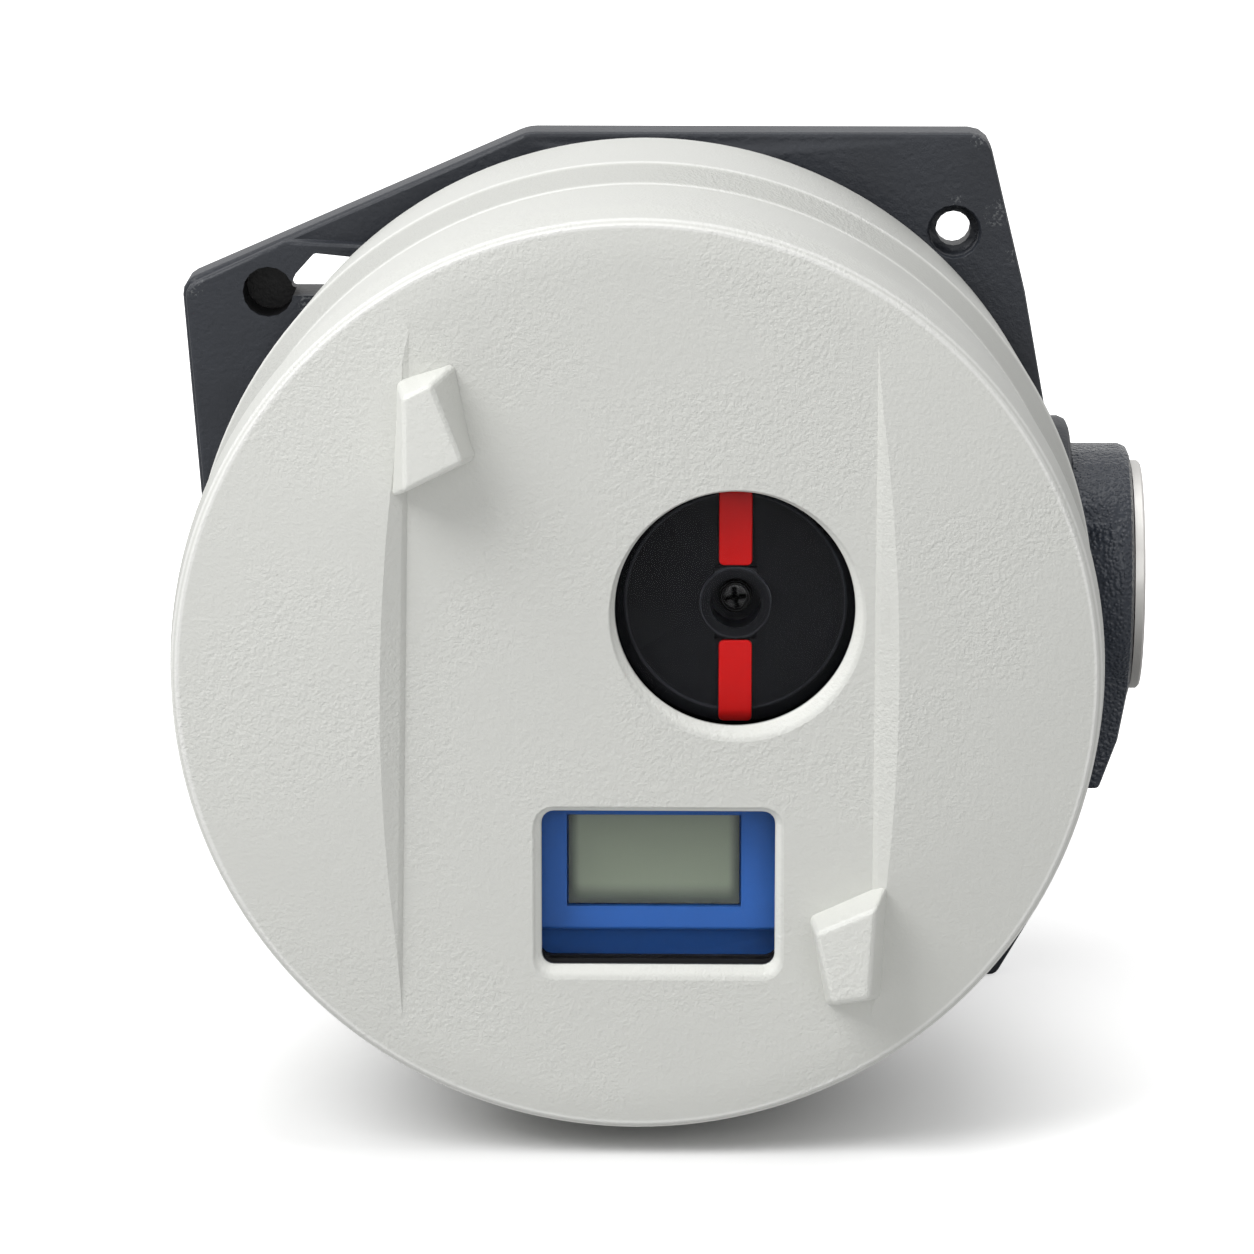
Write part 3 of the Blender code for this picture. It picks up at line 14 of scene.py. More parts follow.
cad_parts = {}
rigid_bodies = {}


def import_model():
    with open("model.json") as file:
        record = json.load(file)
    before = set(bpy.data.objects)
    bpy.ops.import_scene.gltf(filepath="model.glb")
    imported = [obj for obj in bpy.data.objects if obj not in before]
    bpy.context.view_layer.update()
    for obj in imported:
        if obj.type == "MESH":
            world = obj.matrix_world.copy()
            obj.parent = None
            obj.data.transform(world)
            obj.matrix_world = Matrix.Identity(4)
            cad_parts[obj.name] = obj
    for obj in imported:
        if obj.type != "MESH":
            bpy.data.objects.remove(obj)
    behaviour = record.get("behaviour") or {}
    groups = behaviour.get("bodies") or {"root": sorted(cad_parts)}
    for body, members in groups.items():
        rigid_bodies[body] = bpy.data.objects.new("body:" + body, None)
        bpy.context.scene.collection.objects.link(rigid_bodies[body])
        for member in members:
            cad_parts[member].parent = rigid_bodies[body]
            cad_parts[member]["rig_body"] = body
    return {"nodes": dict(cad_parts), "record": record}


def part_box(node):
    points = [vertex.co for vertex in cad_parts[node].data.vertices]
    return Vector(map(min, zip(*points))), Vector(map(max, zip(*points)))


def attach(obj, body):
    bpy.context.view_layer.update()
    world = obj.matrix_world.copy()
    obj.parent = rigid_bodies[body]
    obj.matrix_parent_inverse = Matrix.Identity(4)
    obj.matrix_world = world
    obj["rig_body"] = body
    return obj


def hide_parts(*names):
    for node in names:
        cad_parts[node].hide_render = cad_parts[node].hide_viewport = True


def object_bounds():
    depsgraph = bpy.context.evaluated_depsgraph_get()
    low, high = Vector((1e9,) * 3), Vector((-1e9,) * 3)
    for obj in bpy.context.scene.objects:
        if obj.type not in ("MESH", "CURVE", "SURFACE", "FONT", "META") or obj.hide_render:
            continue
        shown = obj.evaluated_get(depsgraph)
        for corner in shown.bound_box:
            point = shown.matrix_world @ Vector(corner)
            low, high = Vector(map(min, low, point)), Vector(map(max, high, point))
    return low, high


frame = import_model()
NODES = frame["nodes"]
cad_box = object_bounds()
scene = bpy.context.scene

# The cover's axis and main heights, read from the frame
seal_low, seal_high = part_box("cover_seal")
AXIS = ((seal_low + seal_high) / 2).xz                  # cover axis, x and z
shaft_low, shaft_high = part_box("feedback_shaft")
SHAFT = ((shaft_low + shaft_high) / 2).xz - AXIS        # shaft axis from the cover axis
cover_low, cover_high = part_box("cover")

# Cover
RIM_H = 0.160
BAND_RISE = 0.0009
DOME_RISE = 0.0049
CEILING_H = RIM_H - 0.0054
FACE_R = 0.080
FACE_EDGE = 0.0010
DRUM_R = 0.081
BULGE_L = 0.010
STEP_H = RIM_H - 0.050
STEP_R = 0.0788
STEP_L = 0.008
SKIRT_R = 0.0818
SKIRT_H = -cover_high.y
SKIRT_END_R = 0.0795
THREAD_R = 0.0765
SKIRT_BORE_H = 0.0835
INNER_R = 0.0750
GROOVE_R = THREAD_R + 0.0018
GROOVE_HALF = 0.00105
SEAL_H = -(seal_low.y + seal_high.y) / 2
BAND_LEFT = (-0.0395, 0.018)          # where the side crosses the axis's height, and its lean
BAND_RIGHT = (0.0409, 0.002)
BAND_WALL = [(BAND_RISE, 0.0), (0.0013, 0.0003), (0.0018, 0.0009), (0.0060, 0.0097)]
BAND_ENDS = [(-0.086, 1.0), (0.045, 1.0), (0.062, 5.0), (0.086, 5.0)]
LUG_TOP_H = RIM_H + 0.0114
LUG_BASE_H = RIM_H - 0.002
LUG_EDGE = 0.0011
LEFT_FOOT = [(-0.0426, 0.0312), (-0.0268, 0.0386), (-0.0299, 0.0559), (-0.0410, 0.0526)]
LEFT_TOP = [(-0.0391, 0.0350), (-0.0288, 0.0402), (-0.0343, 0.0539), (-0.0392, 0.0514)]
RIGHT_FOOT = [(0.0329, -0.0583), (0.0429, -0.0568), (0.0442, -0.0347), (0.0297, -0.0413)]
RIGHT_TOP = [(0.0338, -0.0541), (0.0404, -0.0531), (0.0414, -0.0368), (0.0308, -0.0414)]
LOCK_R = 0.0024
LOCK_H = 0.0625

# Openings of the cover
WINDOW_R = 0.0206
WINDOW_BEVEL = 0.0014
WINDOW_FLARE = 0.0013
WINDOW_LEAN = (0.25, -0.66)           # how far the bevel moves aside and down as it rises
WALL_LAND = 0.0025
GLASS_R = 0.0237
RETAINER_R = 0.0255
RETAINER_SEAT = 0.0014
DISPLAY_X = 0.00385
DISPLAY_Z = -0.0367
DISPLAY_W = 0.0403
DISPLAY_D = 0.0274
DISPLAY_CORNER = 0.0021
DISPLAY_BEVEL = (0.0014, 0.0010, 0.0022)      # its width at the sides, above and below
BEVEL_RISE = [(-0.0004, 0.0), (-0.0001, 0.03), (0.0002, 0.14), (0.0005, 0.36), (0.0010, 0.72),
              (0.0013, 0.98), (0.0015, 1.3), (0.0030, 4.2)]
DISPLAY_LAP = 0.0026
FRAME_SIDE = 0.0060
FRAME_END = 0.0020

# Indicator
DISC_TOP = CEILING_H - 0.0017
DISC_EDGE_R = 0.019
HUB_R = 0.0062
HUB_TOP = DISC_TOP + 0.0009
DISC_LINE_HALF = 0.0004
SCREW_HEAD_T = 0.0018
SCREW_HEAD_ROUND = 0.0011
SCREW_SHANK_R = 0.0012
SCREW_SHEEN_RING_IN = 0.00032               # the worn ring's place from the head's edge and top; its lighter tone is partly a painted highlight
SCREW_SHEEN_RING_HALF = 0.00034
RECESS_TURN = 8                       # degrees
RECESS_DEPTH = 0.0011
RECESS_FOOT = (0.0026, 0.00045)       # length and width of an arm at its floor
RECESS_MOUTH = (0.0042, 0.00100)
RECESS_OVER = 0.0005
# where the painted shade in the recess lies
RECESS_SHADE_R = (0.0018, 0.0019)
RECESS_SHADE_DROP = (0.00022, 0.00012)

# Casting, measured from the cover's axis or from the rear face
BOSS_START = 0.0808
# the blind hole, and where the painted shade inside it lies
BLIND_HOLE = (-0.0884, 0.0367)        # x and z in the row frame
BLIND_HOLE_EDGE = (0.0054, 0.0058)
BLIND_HOLE_FLOOR = (0.0355, 0.0365)
BLIND_HOLE_MOUTH = (0.0470, 0.0476)

# Tones
COVER_GREY = (0.62, 0.625, 0.595)
# painted highlight tone for the cover's ring edges, and how far the edges go to it
EDGE_PAINTED_HIGHLIGHT = (0.76, 0.76, 0.74)
STEP_PAINTED_SHADE = 0.80                     # painted shade on the step, and painted light on the lugs and bevels, each as a share of the coat's tone
LUG_PAINTED_LIGHT = 1.12
BEVEL_PAINTED_LIGHT = 1.15
EDGE_HIGHLIGHT_SHARE = 0.7
OPENINGS_EDGE = (0.066, 0.068)        # radius within which the openings lie
# painted shade on the walls inside the openings
OPENING_PAINTED_SHADE = (0.020, 0.022, 0.026)
CAST_DARK = (0.0200, 0.0225, 0.0285)
BOSS_BLUE = (0.034, 0.041, 0.056)
SCUFF_GREY = (0.13, 0.135, 0.14)
# painted shade inside the blind hole
HOLE_PAINTED_SHADE = (0.004, 0.004, 0.005)
LCD_LIT = (0.170, 0.197, 0.147)
# painted shade at the display's lower edge and sides, and how far it reaches
LCD_PAINTED_SHADE = (0.034, 0.042, 0.037)
LCD_FADE_UP = 0.0042
LCD_FADE_SIDE = 0.0022
DISC_TONE = (0.0048, 0.0050, 0.0064)
# painted highlight lines on the disc
DISC_LINE_HIGHLIGHT = (0.020, 0.021, 0.025)
SCREW_TONE = (0.0030, 0.0030, 0.0034)
# painted shade in the screw's cross recess
RECESS_PAINTED_SHADE = (0.0010, 0.0010, 0.0012)
# worn bare-metal ring on the screw head, lighter as a painted highlight
WEAR_AND_SHEEN_TONE = (0.20, 0.20, 0.20)
FLOOR_GREY = (0.6, 0.6, 0.6)
FLOOR_WHITE = (0.93, 0.93, 0.93)

# Painted light on the floor: a camera-only glow, nil at the shadow's place and growing away from it
GLOW_CENTRE = (-0.030, -0.135)
GLOW_START = 0.03
GLOW_MIDDLE = 0.13
GLOW_FULL = 0.5

# Camera, from the photo's perspective
CAMERA_AZIMUTH = 1.0
CAMERA_ELEVATION = 13.0
CAMERA_DISTANCE = 1.0
CAMERA_LENS = 167.4
AIM_LEFT = 0.00154
AIM_UP = 0.0096

TO_FRONT = Matrix.Rotation(pi / 2, 4, 'X')
TINY = 1e-6


# Shaping


def dome_height(radius):
    return RIM_H + DOME_RISE * (1 - (radius / FACE_R) ** 2)


def row_point(x, z, height):
    """A place from the cover's axis, at a height, in the row frame."""
    return (AXIS.x + x, -height, AXIS.y + z)


def merged(work, reach=TINY):
    bmesh.ops.remove_doubles(work, verts=work.verts, dist=reach)
    bmesh.ops.recalc_face_normals(work, faces=work.faces)
    return work


def softened(points, radii, steps=4):
    """The same line with an arc of the given radius at each of its points that has one."""
    line = []
    for i, point in enumerate(points):
        radius = radii.get(i, 0.0)
        here = Vector(point)
        if not radius:
            line.append(here)
            continue
        back = (Vector(points[i - 1]) - here).normalized()
        ahead = (Vector(points[(i + 1) % len(points)]) - here).normalized()
        half = back.angle(ahead) / 2
        centre = here + (back + ahead).normalized() * (radius / sin(half))
        first = here + back * (radius * cos(half) / sin(half)) - centre
        last = here + ahead * (radius * cos(half) / sin(half)) - centre
        sweep = first.angle_signed(last)
        for step in range(steps + 1):
            line.append(centre + Matrix.Rotation(-sweep * step / steps, 2) @ first)
    return [(point.x, point.y) for point in line]


def turned(profile, steps):
    """A solid of revolution about +Z from (radius, height) points."""
    work = bmesh.new()
    points = [work.verts.new((radius, 0, height)) for radius, height in profile]
    edges = [work.edges.new(pair) for pair in zip(points, points[1:])]
    bmesh.ops.spin(work, geom=points + edges, cent=(0, 0, 0), axis=(0, 0, 1), dvec=(0, 0, 0),
                   angle=2 * pi, steps=steps, use_merge=True, use_duplicate=False)
    return merged(work)


def plate(outline, low, high):
    """A flat outline given thickness along +Z."""
    work = bmesh.new()
    face = work.faces.new([work.verts.new((x, y, low)) for x, y in outline])
    made = bmesh.ops.extrude_face_region(work, geom=[face])["geom"]
    raised = [part for part in made if isinstance(part, bmesh.types.BMVert)]
    bmesh.ops.translate(work, verts=raised, vec=(0, 0, high - low))
    return merged(work)


def rectangle(width, depth, corner, x=0.0, y=0.0, steps=5):
    half_w = width / 2
    half_d = depth / 2
    points = [(x - half_w, y - half_d), (x + half_w, y - half_d), (x + half_w, y + half_d),
              (x - half_w, y + half_d)]
    return softened(points, dict.fromkeys(range(4), corner), steps)


def lofted(levels):
    """A solid carried up through levels of (height, outline), each outline with as many points."""
    work = bmesh.new()
    height, outline = levels[0]
    face = work.faces.new([work.verts.new((x, y, height)) for x, y in outline])
    for next_height, next_outline in levels[1:]:
        region = [face, *face.edges, *face.verts] if face.edges[0].is_manifold else [face]
        made = bmesh.ops.extrude_face_region(work, geom=region)["geom"]
        face = [part for part in made if isinstance(part, bmesh.types.BMFace)][0]
        for vertex in face.verts:
            away = [(vertex.co.xy - Vector(point)).length for point in outline]
            vertex.co = (*next_outline[away.index(min(away))], next_height)
        outline = next_outline
    return merged(work)


def softened_edges(work, width, segments=3, sharper_than=30):
    edges = [e for e in work.edges if e.is_manifold and e.calc_face_angle() > radians(sharper_than)]
    bmesh.ops.bevel(work, geom=edges, offset=width, offset_type='OFFSET', segments=segments,
                    profile=0.5, affect='EDGES', clamp_overlap=True, material=-1)
    return work


def moved(work, x, y, z=0.0):
    bmesh.ops.translate(work, verts=work.verts, vec=(x, y, z))
    return work


def as_object(work, name):
    mesh = bpy.data.meshes.new(name)
    work.to_mesh(mesh)
    work.free()
    made = bpy.data.objects.new(name, mesh)
    scene.collection.objects.link(made)
    return made


def combined(base, tools):
    """The base solid with each (operation, solid) applied to it in turn."""
    whole = as_object(base, "whole")
    made = []
    for operation, tool in tools:
        made.append(as_object(tool, "tool"))
        step = whole.modifiers.new("step", 'BOOLEAN')
        step.operation = operation
        step.solver = 'EXACT'
        step.object = made[-1]
    bpy.context.view_layer.update()
    graph = bpy.context.evaluated_depsgraph_get()
    mesh = bpy.data.meshes.new_from_object(whole.evaluated_get(graph))
    work = bmesh.new()
    work.from_mesh(mesh)
    for piece in [whole, *made]:
        bpy.data.objects.remove(piece, do_unlink=True)
    bpy.data.meshes.remove(mesh)
    return merged(work, 5e-6)


def finished(work, name, body, finish, nodes=(), sharp=30):
    """Makes a piece of the object from a shape that already lies in the row frame."""
    piece = as_object(work, name)
    piece.data.materials.clear()
    piece.data.materials.append(finish)
    piece.data.shade_smooth()
    piece.data.set_sharp_from_angle(angle=radians(sharp))
    normals = piece.modifiers.new("flat_faces", 'WEIGHTED_NORMAL')
    normals.keep_sharp = True
    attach(piece, body)
    if nodes:
        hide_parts(*nodes)
    return piece


def on_front(work, centre=(0.0, 0.0)):
    """Turns a shape with its height along +Z to the front, about a place from the cover's axis."""
    bmesh.ops.transform(work, verts=work.verts, matrix=TO_FRONT)
    bmesh.ops.translate(work, verts=work.verts, vec=(AXIS.x + centre[0], 0, AXIS.y + centre[1]))
    return work


def rounded_corners(work, width):
    """Rounds the edges that run straight to the front."""
    edges = [e for e in work.edges if e.is_manifold and e.calc_face_angle() > radians(40)
             and abs((e.verts[0].co - e.verts[1].co).normalized().y) > 0.95]
    bmesh.ops.bevel(work, geom=edges, offset=width, offset_type='OFFSET', segments=4,
                    profile=0.5, affect='EDGES', clamp_overlap=True, material=-1)


def dressed(node, name, finish, sharp=30, edge=0.0, corner=0.0):
    """A merged, smoothly shaded copy of a node, in its place, with its edges softened."""
    work = bmesh.new()
    work.from_mesh(NODES[node].data)
    merged(work, 2e-6)
    bmesh.ops.dissolve_limit(work, angle_limit=radians(0.5), verts=work.verts, edges=work.edges)
    if corner:
        rounded_corners(work, corner)
    if edge:
        softened_edges(work, edge, 3, 40)
    body = NODES[node]["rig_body"]
    return finished(work, name, body, finish, [node], sharp)


# Node groups


def new_group(name, inputs, outputs):
    group = bpy.data.node_groups.new(name, 'ShaderNodeTree')
    for label, kind, value in inputs:
        made = group.interface.new_socket(label, in_out='INPUT', socket_type=kind)
        made.default_value = value
    for label, kind in outputs:
        group.interface.new_socket(label, in_out='OUTPUT', socket_type=kind)
    return group, group.nodes.new('NodeGroupInput'), group.nodes.new('NodeGroupOutput')


def noise(tree, scale, detail=2.0, roughness=0.5, vector=None):
    made = tree.nodes.new('ShaderNodeTexNoise')
    made.inputs["Detail"].default_value = detail
    made.inputs["Roughness"].default_value = roughness
    if isinstance(scale, (int, float)):
        made.inputs["Scale"].default_value = scale
    else:
        tree.links.new(scale, made.inputs["Scale"])
    if vector is not None:
        tree.links.new(vector, made.inputs["Vector"])
    return made.outputs["Fac"]


def math(tree, operation, first, second=None, clamp=False):
    made = tree.nodes.new('ShaderNodeMath')
    made.operation = operation
    made.use_clamp = clamp
    for socket, value in zip(made.inputs, (first, second)):
        if value is None:
            continue
        if isinstance(value, (int, float)):
            socket.default_value = value
        else:
            tree.links.new(value, socket)
    return made.outputs[0]


def span(tree, value, low, high, to_low=0.0, to_high=1.0, smooth=True):
    made = tree.nodes.new('ShaderNodeMapRange')
    made.interpolation_type = 'SMOOTHSTEP' if smooth else 'LINEAR'
    tree.links.new(value, made.inputs["Value"])
    for label, number in (("From Min", low), ("From Max", high), ("To Min", to_low),
                          ("To Max", to_high)):
        if isinstance(number, (int, float)):
            made.inputs[label].default_value = number
        else:
            tree.links.new(number, made.inputs[label])
    return made.outputs["Result"]


def object_point(tree):
    return tree.nodes.new('ShaderNodeTexCoord').outputs["Object"]


def round_axis(tree, centre=None):
    """The distance from an axis towards the front, and the height in front of the rear face."""
    point = object_point(tree)
    if centre is not None:
        from_centre = tree.nodes.new('ShaderNodeVectorMath')
        from_centre.operation = 'SUBTRACT'
        tree.links.new(point, from_centre.inputs[0])
        tree.links.new(centre, from_centre.inputs[1])
        point = from_centre.outputs["Vector"]
    parts = tree.nodes.new('ShaderNodeSeparateXYZ')
    tree.links.new(point, parts.inputs[0])
    squares = math(tree, 'ADD', math(tree, 'MULTIPLY', parts.outputs["X"], parts.outputs["X"]),
                   math(tree, 'MULTIPLY', parts.outputs["Z"], parts.outputs["Z"]))
    return math(tree, 'SQRT', squares), math(tree, 'MULTIPLY', parts.outputs["Y"], -1.0)


def coat_group():
    """Wrinkled powder coat: patches of fine grain, as a height and a slight change of tone."""
    group, inside, outside = new_group(
        "powder_coat", [("Grain", 'NodeSocketFloat', 1000.0), ("Patches", 'NodeSocketFloat', 30.0),
                        ("Calm", 'NodeSocketFloat', 0.35)],
        [("Height", 'NodeSocketFloat'), ("Tone", 'NodeSocketFloat')])
    point = object_point(group)
    fine = noise(group, inside.outputs["Grain"], 2.5, 0.6, point)
    coarse = noise(group, math(group, 'MULTIPLY', inside.outputs["Grain"], 0.45), 1.0, 0.5, point)
    patches = noise(group, inside.outputs["Patches"], 3.0, 0.55, point)
    strength = span(group, patches, 0.40, 0.62, inside.outputs["Calm"], 1.0)
    both = math(group, 'ADD', math(group, 'MULTIPLY', fine, 0.6), math(group, 'MULTIPLY', coarse, 0.4))
    centred = math(group, 'SUBTRACT', both, 0.5)
    group.links.new(math(group, 'MULTIPLY', centred, strength), outside.inputs["Height"])
    group.links.new(span(group, patches, 0.25, 0.75), outside.inputs["Tone"])
    return group


def hammer_group():
    """Glossy hammered skin: rounded bumps of one size that run into each other."""
    group, inside, outside = new_group(
        "hammered_skin", [("Bumps", 'NodeSocketFloat', 1350.0)], [("Height", 'NodeSocketFloat')])
    point = object_point(group)
    cells = group.nodes.new('ShaderNodeTexVoronoi')
    cells.feature = 'SMOOTH_F1'
    cells.inputs["Smoothness"].default_value = 0.6
    group.links.new(inside.outputs["Bumps"], cells.inputs["Scale"])
    group.links.new(point, cells.inputs["Vector"])
    swell = noise(group, math(group, 'MULTIPLY', inside.outputs["Bumps"], 0.6), 2.0, 0.5, point)
    rounded = span(group, cells.outputs["Distance"], 0.05, 0.75, 1.0, 0.0)
    group.links.new(math(group, 'ADD', rounded, swell), outside.inputs["Height"])
    return group


def near_group():
    """1 near a point and 0 beyond a reach, with an uneven edge."""
    group, inside, outside = new_group(
        "near_point", [("Point", 'NodeSocketVector', (0.0, 0.0, 0.0)), ("Reach", 'NodeSocketFloat', 0.01),
                       ("Uneven", 'NodeSocketFloat', 0.4)],
        [("Mask", 'NodeSocketFloat')])
    point = object_point(group)
    away = group.nodes.new('ShaderNodeVectorMath')
    away.operation = 'DISTANCE'
    group.links.new(point, away.inputs[0])
    group.links.new(inside.outputs["Point"], away.inputs[1])
    share = math(group, 'DIVIDE', away.outputs["Value"], inside.outputs["Reach"])
    ragged = math(group, 'MULTIPLY', math(group, 'SUBTRACT', noise(group, 700.0, 4.0, 0.75, point), 0.5),
                  inside.outputs["Uneven"])
    total = math(group, 'ADD', share, math(group, 'MULTIPLY', ragged, 4.0))
    group.links.new(span(group, total, 0.5, 1.0, 1.0, 0.0), outside.inputs["Mask"])
    return group


def turning_group():
    """Fine rings left by turning, about an axis through a point: a height from the distance to it."""
    group, inside, outside = new_group(
        "turned_rings", [("Centre", 'NodeSocketVector', (0.0, 0.0, 0.0)),
                         ("Across", 'NodeSocketVector', (0.0, 1.0, 1.0)),
                         ("Rings", 'NodeSocketFloat', 9000.0)],
        [("Height", 'NodeSocketFloat'), ("Tone", 'NodeSocketFloat')])
    point = object_point(group)
    from_centre = group.nodes.new('ShaderNodeVectorMath')
    from_centre.operation = 'SUBTRACT'
    group.links.new(point, from_centre.inputs[0])
    group.links.new(inside.outputs["Centre"], from_centre.inputs[1])
    flat = group.nodes.new('ShaderNodeVectorMath')
    flat.operation = 'MULTIPLY'
    group.links.new(from_centre.outputs["Vector"], flat.inputs[0])
    group.links.new(inside.outputs["Across"], flat.inputs[1])
    radius = group.nodes.new('ShaderNodeVectorMath')
    radius.operation = 'LENGTH'
    group.links.new(flat.outputs["Vector"], radius.inputs[0])
    wave = math(group, 'SINE', math(group, 'MULTIPLY', radius.outputs["Value"], inside.outputs["Rings"]))
    drift = noise(group, 90.0, 3.0, 0.6, point)
    group.links.new(math(group, 'MULTIPLY', wave, drift), outside.inputs["Height"])
    group.links.new(drift, outside.inputs["Tone"])
    return group


def ring_group():
    """1 on a ring about an axis towards the front, at its radius and height, and 0 beside it."""
    group, inside, outside = new_group(
        "ring_line", [("Centre", 'NodeSocketVector', (0.0, 0.0, 0.0)), ("Radius", 'NodeSocketFloat', 0.08),
                      ("Height", 'NodeSocketFloat', 0.16), ("Half", 'NodeSocketFloat', 0.0005)],
        [("Mask", 'NodeSocketFloat')])
    radius, height = round_axis(group, inside.outputs["Centre"])
    across = math(group, 'SUBTRACT', radius, inside.outputs["Radius"])
    along = math(group, 'SUBTRACT', height, inside.outputs["Height"])
    squares = math(group, 'ADD', math(group, 'MULTIPLY', across, across),
                   math(group, 'MULTIPLY', along, along))
    share = math(group, 'DIVIDE', math(group, 'SQRT', squares), inside.outputs["Half"])
    group.links.new(span(group, share, 0.4, 1.0, 1.0, 0.0), outside.inputs["Mask"])
    return group


COAT = coat_group()
HAMMERED = hammer_group()
NEAR = near_group()
TURNING = turning_group()
RING = ring_group()


# Materials


def new_material(name, color, roughness, metallic=0.0):
    made = bpy.data.materials.new(name)
    made.use_nodes = True
    shader = made.node_tree.nodes["Principled BSDF"]
    shader.inputs["Base Color"].default_value = (*color, 1.0)
    shader.inputs["Roughness"].default_value = roughness
    shader.inputs["Metallic"].default_value = metallic
    return made, made.node_tree, shader


def placed(tree, group, **values):
    made = tree.nodes.new('ShaderNodeGroup')
    made.node_tree = group
    for label, value in values.items():
        made.inputs[label].default_value = value
    return made


def mixed(tree, mask, first, second):
    """A colour between two, by a mask."""
    made = tree.nodes.new('ShaderNodeMix')
    made.data_type = 'RGBA'
    for socket, value in ((made.inputs[0], mask), (made.inputs[6], first), (made.inputs[7], second)):
        if isinstance(value, (int, float)):
            socket.default_value = value
        elif isinstance(value, tuple):
            socket.default_value = (*value, 1.0)
        else:
            tree.links.new(value, socket)
    return made.outputs[2]


def bumped(tree, shader, height, distance):
    made = tree.nodes.new('ShaderNodeBump')
    made.inputs["Strength"].default_value = 1.0
    made.inputs["Distance"].default_value = distance
    tree.links.new(height, made.inputs["Height"])
    tree.links.new(made.outputs["Normal"], shader.inputs["Normal"])


def axis_point(tree, x, z):
    """A vector that marks an axis towards the front."""
    made = tree.nodes.new('ShaderNodeCombineXYZ')
    made.inputs["X"].default_value = x
    made.inputs["Z"].default_value = z
    return made.outputs["Vector"]


def coat_material(name, color, roughness, grain, depth):
    made, tree, shader = new_material(name, color, roughness)
    coat = placed(tree, COAT, Grain=grain)
    darker = tuple(0.965 * part for part in color)
    tree.links.new(mixed(tree, coat.outputs["Tone"], darker, color), shader.inputs["Base Color"])
    bumped(tree, shader, coat.outputs["Height"], depth)
    shader.inputs["Specular IOR Level"].default_value = 0.4
    return made, tree, shader


def cover_material():
    """Light powder coat, with painted highlights on the cover's ring edges, its lugs and the bevels of its
    openings, and painted shade on its step and inside its openings.
    """
    color = COVER_GREY
    made, tree, shader = coat_material("cover_coat", color, 0.46, 1800.0, 0.00040)
    tone = shader.inputs["Base Color"].links[0].from_socket
    radius, height = round_axis(tree, axis_point(tree, *AXIS))
    foot = STEP_H - STEP_L
    # Painted shade on the step between its two edges
    on_step = math(tree, 'MULTIPLY', span(tree, height, foot + 0.0004, foot + 0.0014),
                   span(tree, height, STEP_H - 0.0012, STEP_H - 0.0003, 1.0, 0.0))
    tone = mixed(tree, on_step, tone, tuple(STEP_PAINTED_SHADE * part for part in color))
    # Painted light on the lugs' steep walls and on their tops
    facing = tree.nodes.new('ShaderNodeSeparateXYZ')
    tree.links.new(tree.nodes.new('ShaderNodeTexCoord').outputs["Normal"], facing.inputs[0])
    steep = span(tree, math(tree, 'ABSOLUTE', facing.outputs["Y"]), 0.45, 0.60, 1.0, 0.0)
    on_wall = math(tree, 'MULTIPLY', steep, span(tree, height, RIM_H + 0.0010, RIM_H + 0.0013))
    raised = RIM_H + DOME_RISE
    on_lug = math(tree, 'MAXIMUM', on_wall, span(tree, height, raised + 0.0003, raised + 0.0008))
    tone = mixed(tree, on_lug, tone, tuple(LUG_PAINTED_LIGHT * part for part in color))
    # Painted light on the bevels round the openings
    inner = span(tree, radius, *OPENINGS_EDGE, 1.0, 0.0)
    on_bevel = math(tree, 'MULTIPLY', inner,
                    span(tree, height, RIM_H + 0.0003, RIM_H + 0.0008, 1.0, 0.0))
    tone = mixed(tree, on_bevel, tone, tuple(BEVEL_PAINTED_LIGHT * part for part in color))
    # Painted shade on the walls inside the openings
    in_opening = math(tree, 'MULTIPLY', inner,
                      span(tree, height, RIM_H - 0.0010, RIM_H - 0.0006, 1.0, 0.0))
    tone = mixed(tree, in_opening, tone, OPENING_PAINTED_SHADE)
    # Painted highlights along the rim's two edges, the step's edge and the skirt's edge
    rings = None
    edges = ((FACE_R - FACE_EDGE, dome_height(FACE_R - FACE_EDGE), 0.0007),
             (FACE_R, RIM_H - FACE_EDGE, 0.0007), (STEP_R, STEP_H, 0.0008), (SKIRT_R, foot, 0.0008))
    for ring_radius, ring_height, half in edges:
        ring = placed(tree, RING, Centre=(AXIS.x, 0.0, AXIS.y), Radius=ring_radius,
                      Height=ring_height, Half=half)
        line = ring.outputs["Mask"]
        rings = line if rings is None else math(tree, 'MAXIMUM', rings, line)
    tone = mixed(tree, math(tree, 'MULTIPLY', rings, EDGE_HIGHLIGHT_SHARE), tone, EDGE_PAINTED_HIGHLIGHT)
    tree.links.new(tone, shader.inputs["Base Color"])
    return made


# Worn spots on the ears, each with its reach
PLATE_H = 0.045
PAD_H = 0.048
SCUFFS = [
    (row_point(0.0625, 0.0783, PLATE_H), 0.0025), (row_point(0.0662, 0.0640, PLATE_H), 0.0030),
    (row_point(0.0580, 0.0665, PLATE_H), 0.0016), (row_point(-0.0853, 0.0500, PAD_H), 0.0022),
    (row_point(-0.0640, 0.0470, PAD_H), 0.0022), (row_point(0.0690, 0.0560, PLATE_H), 0.0018),
]


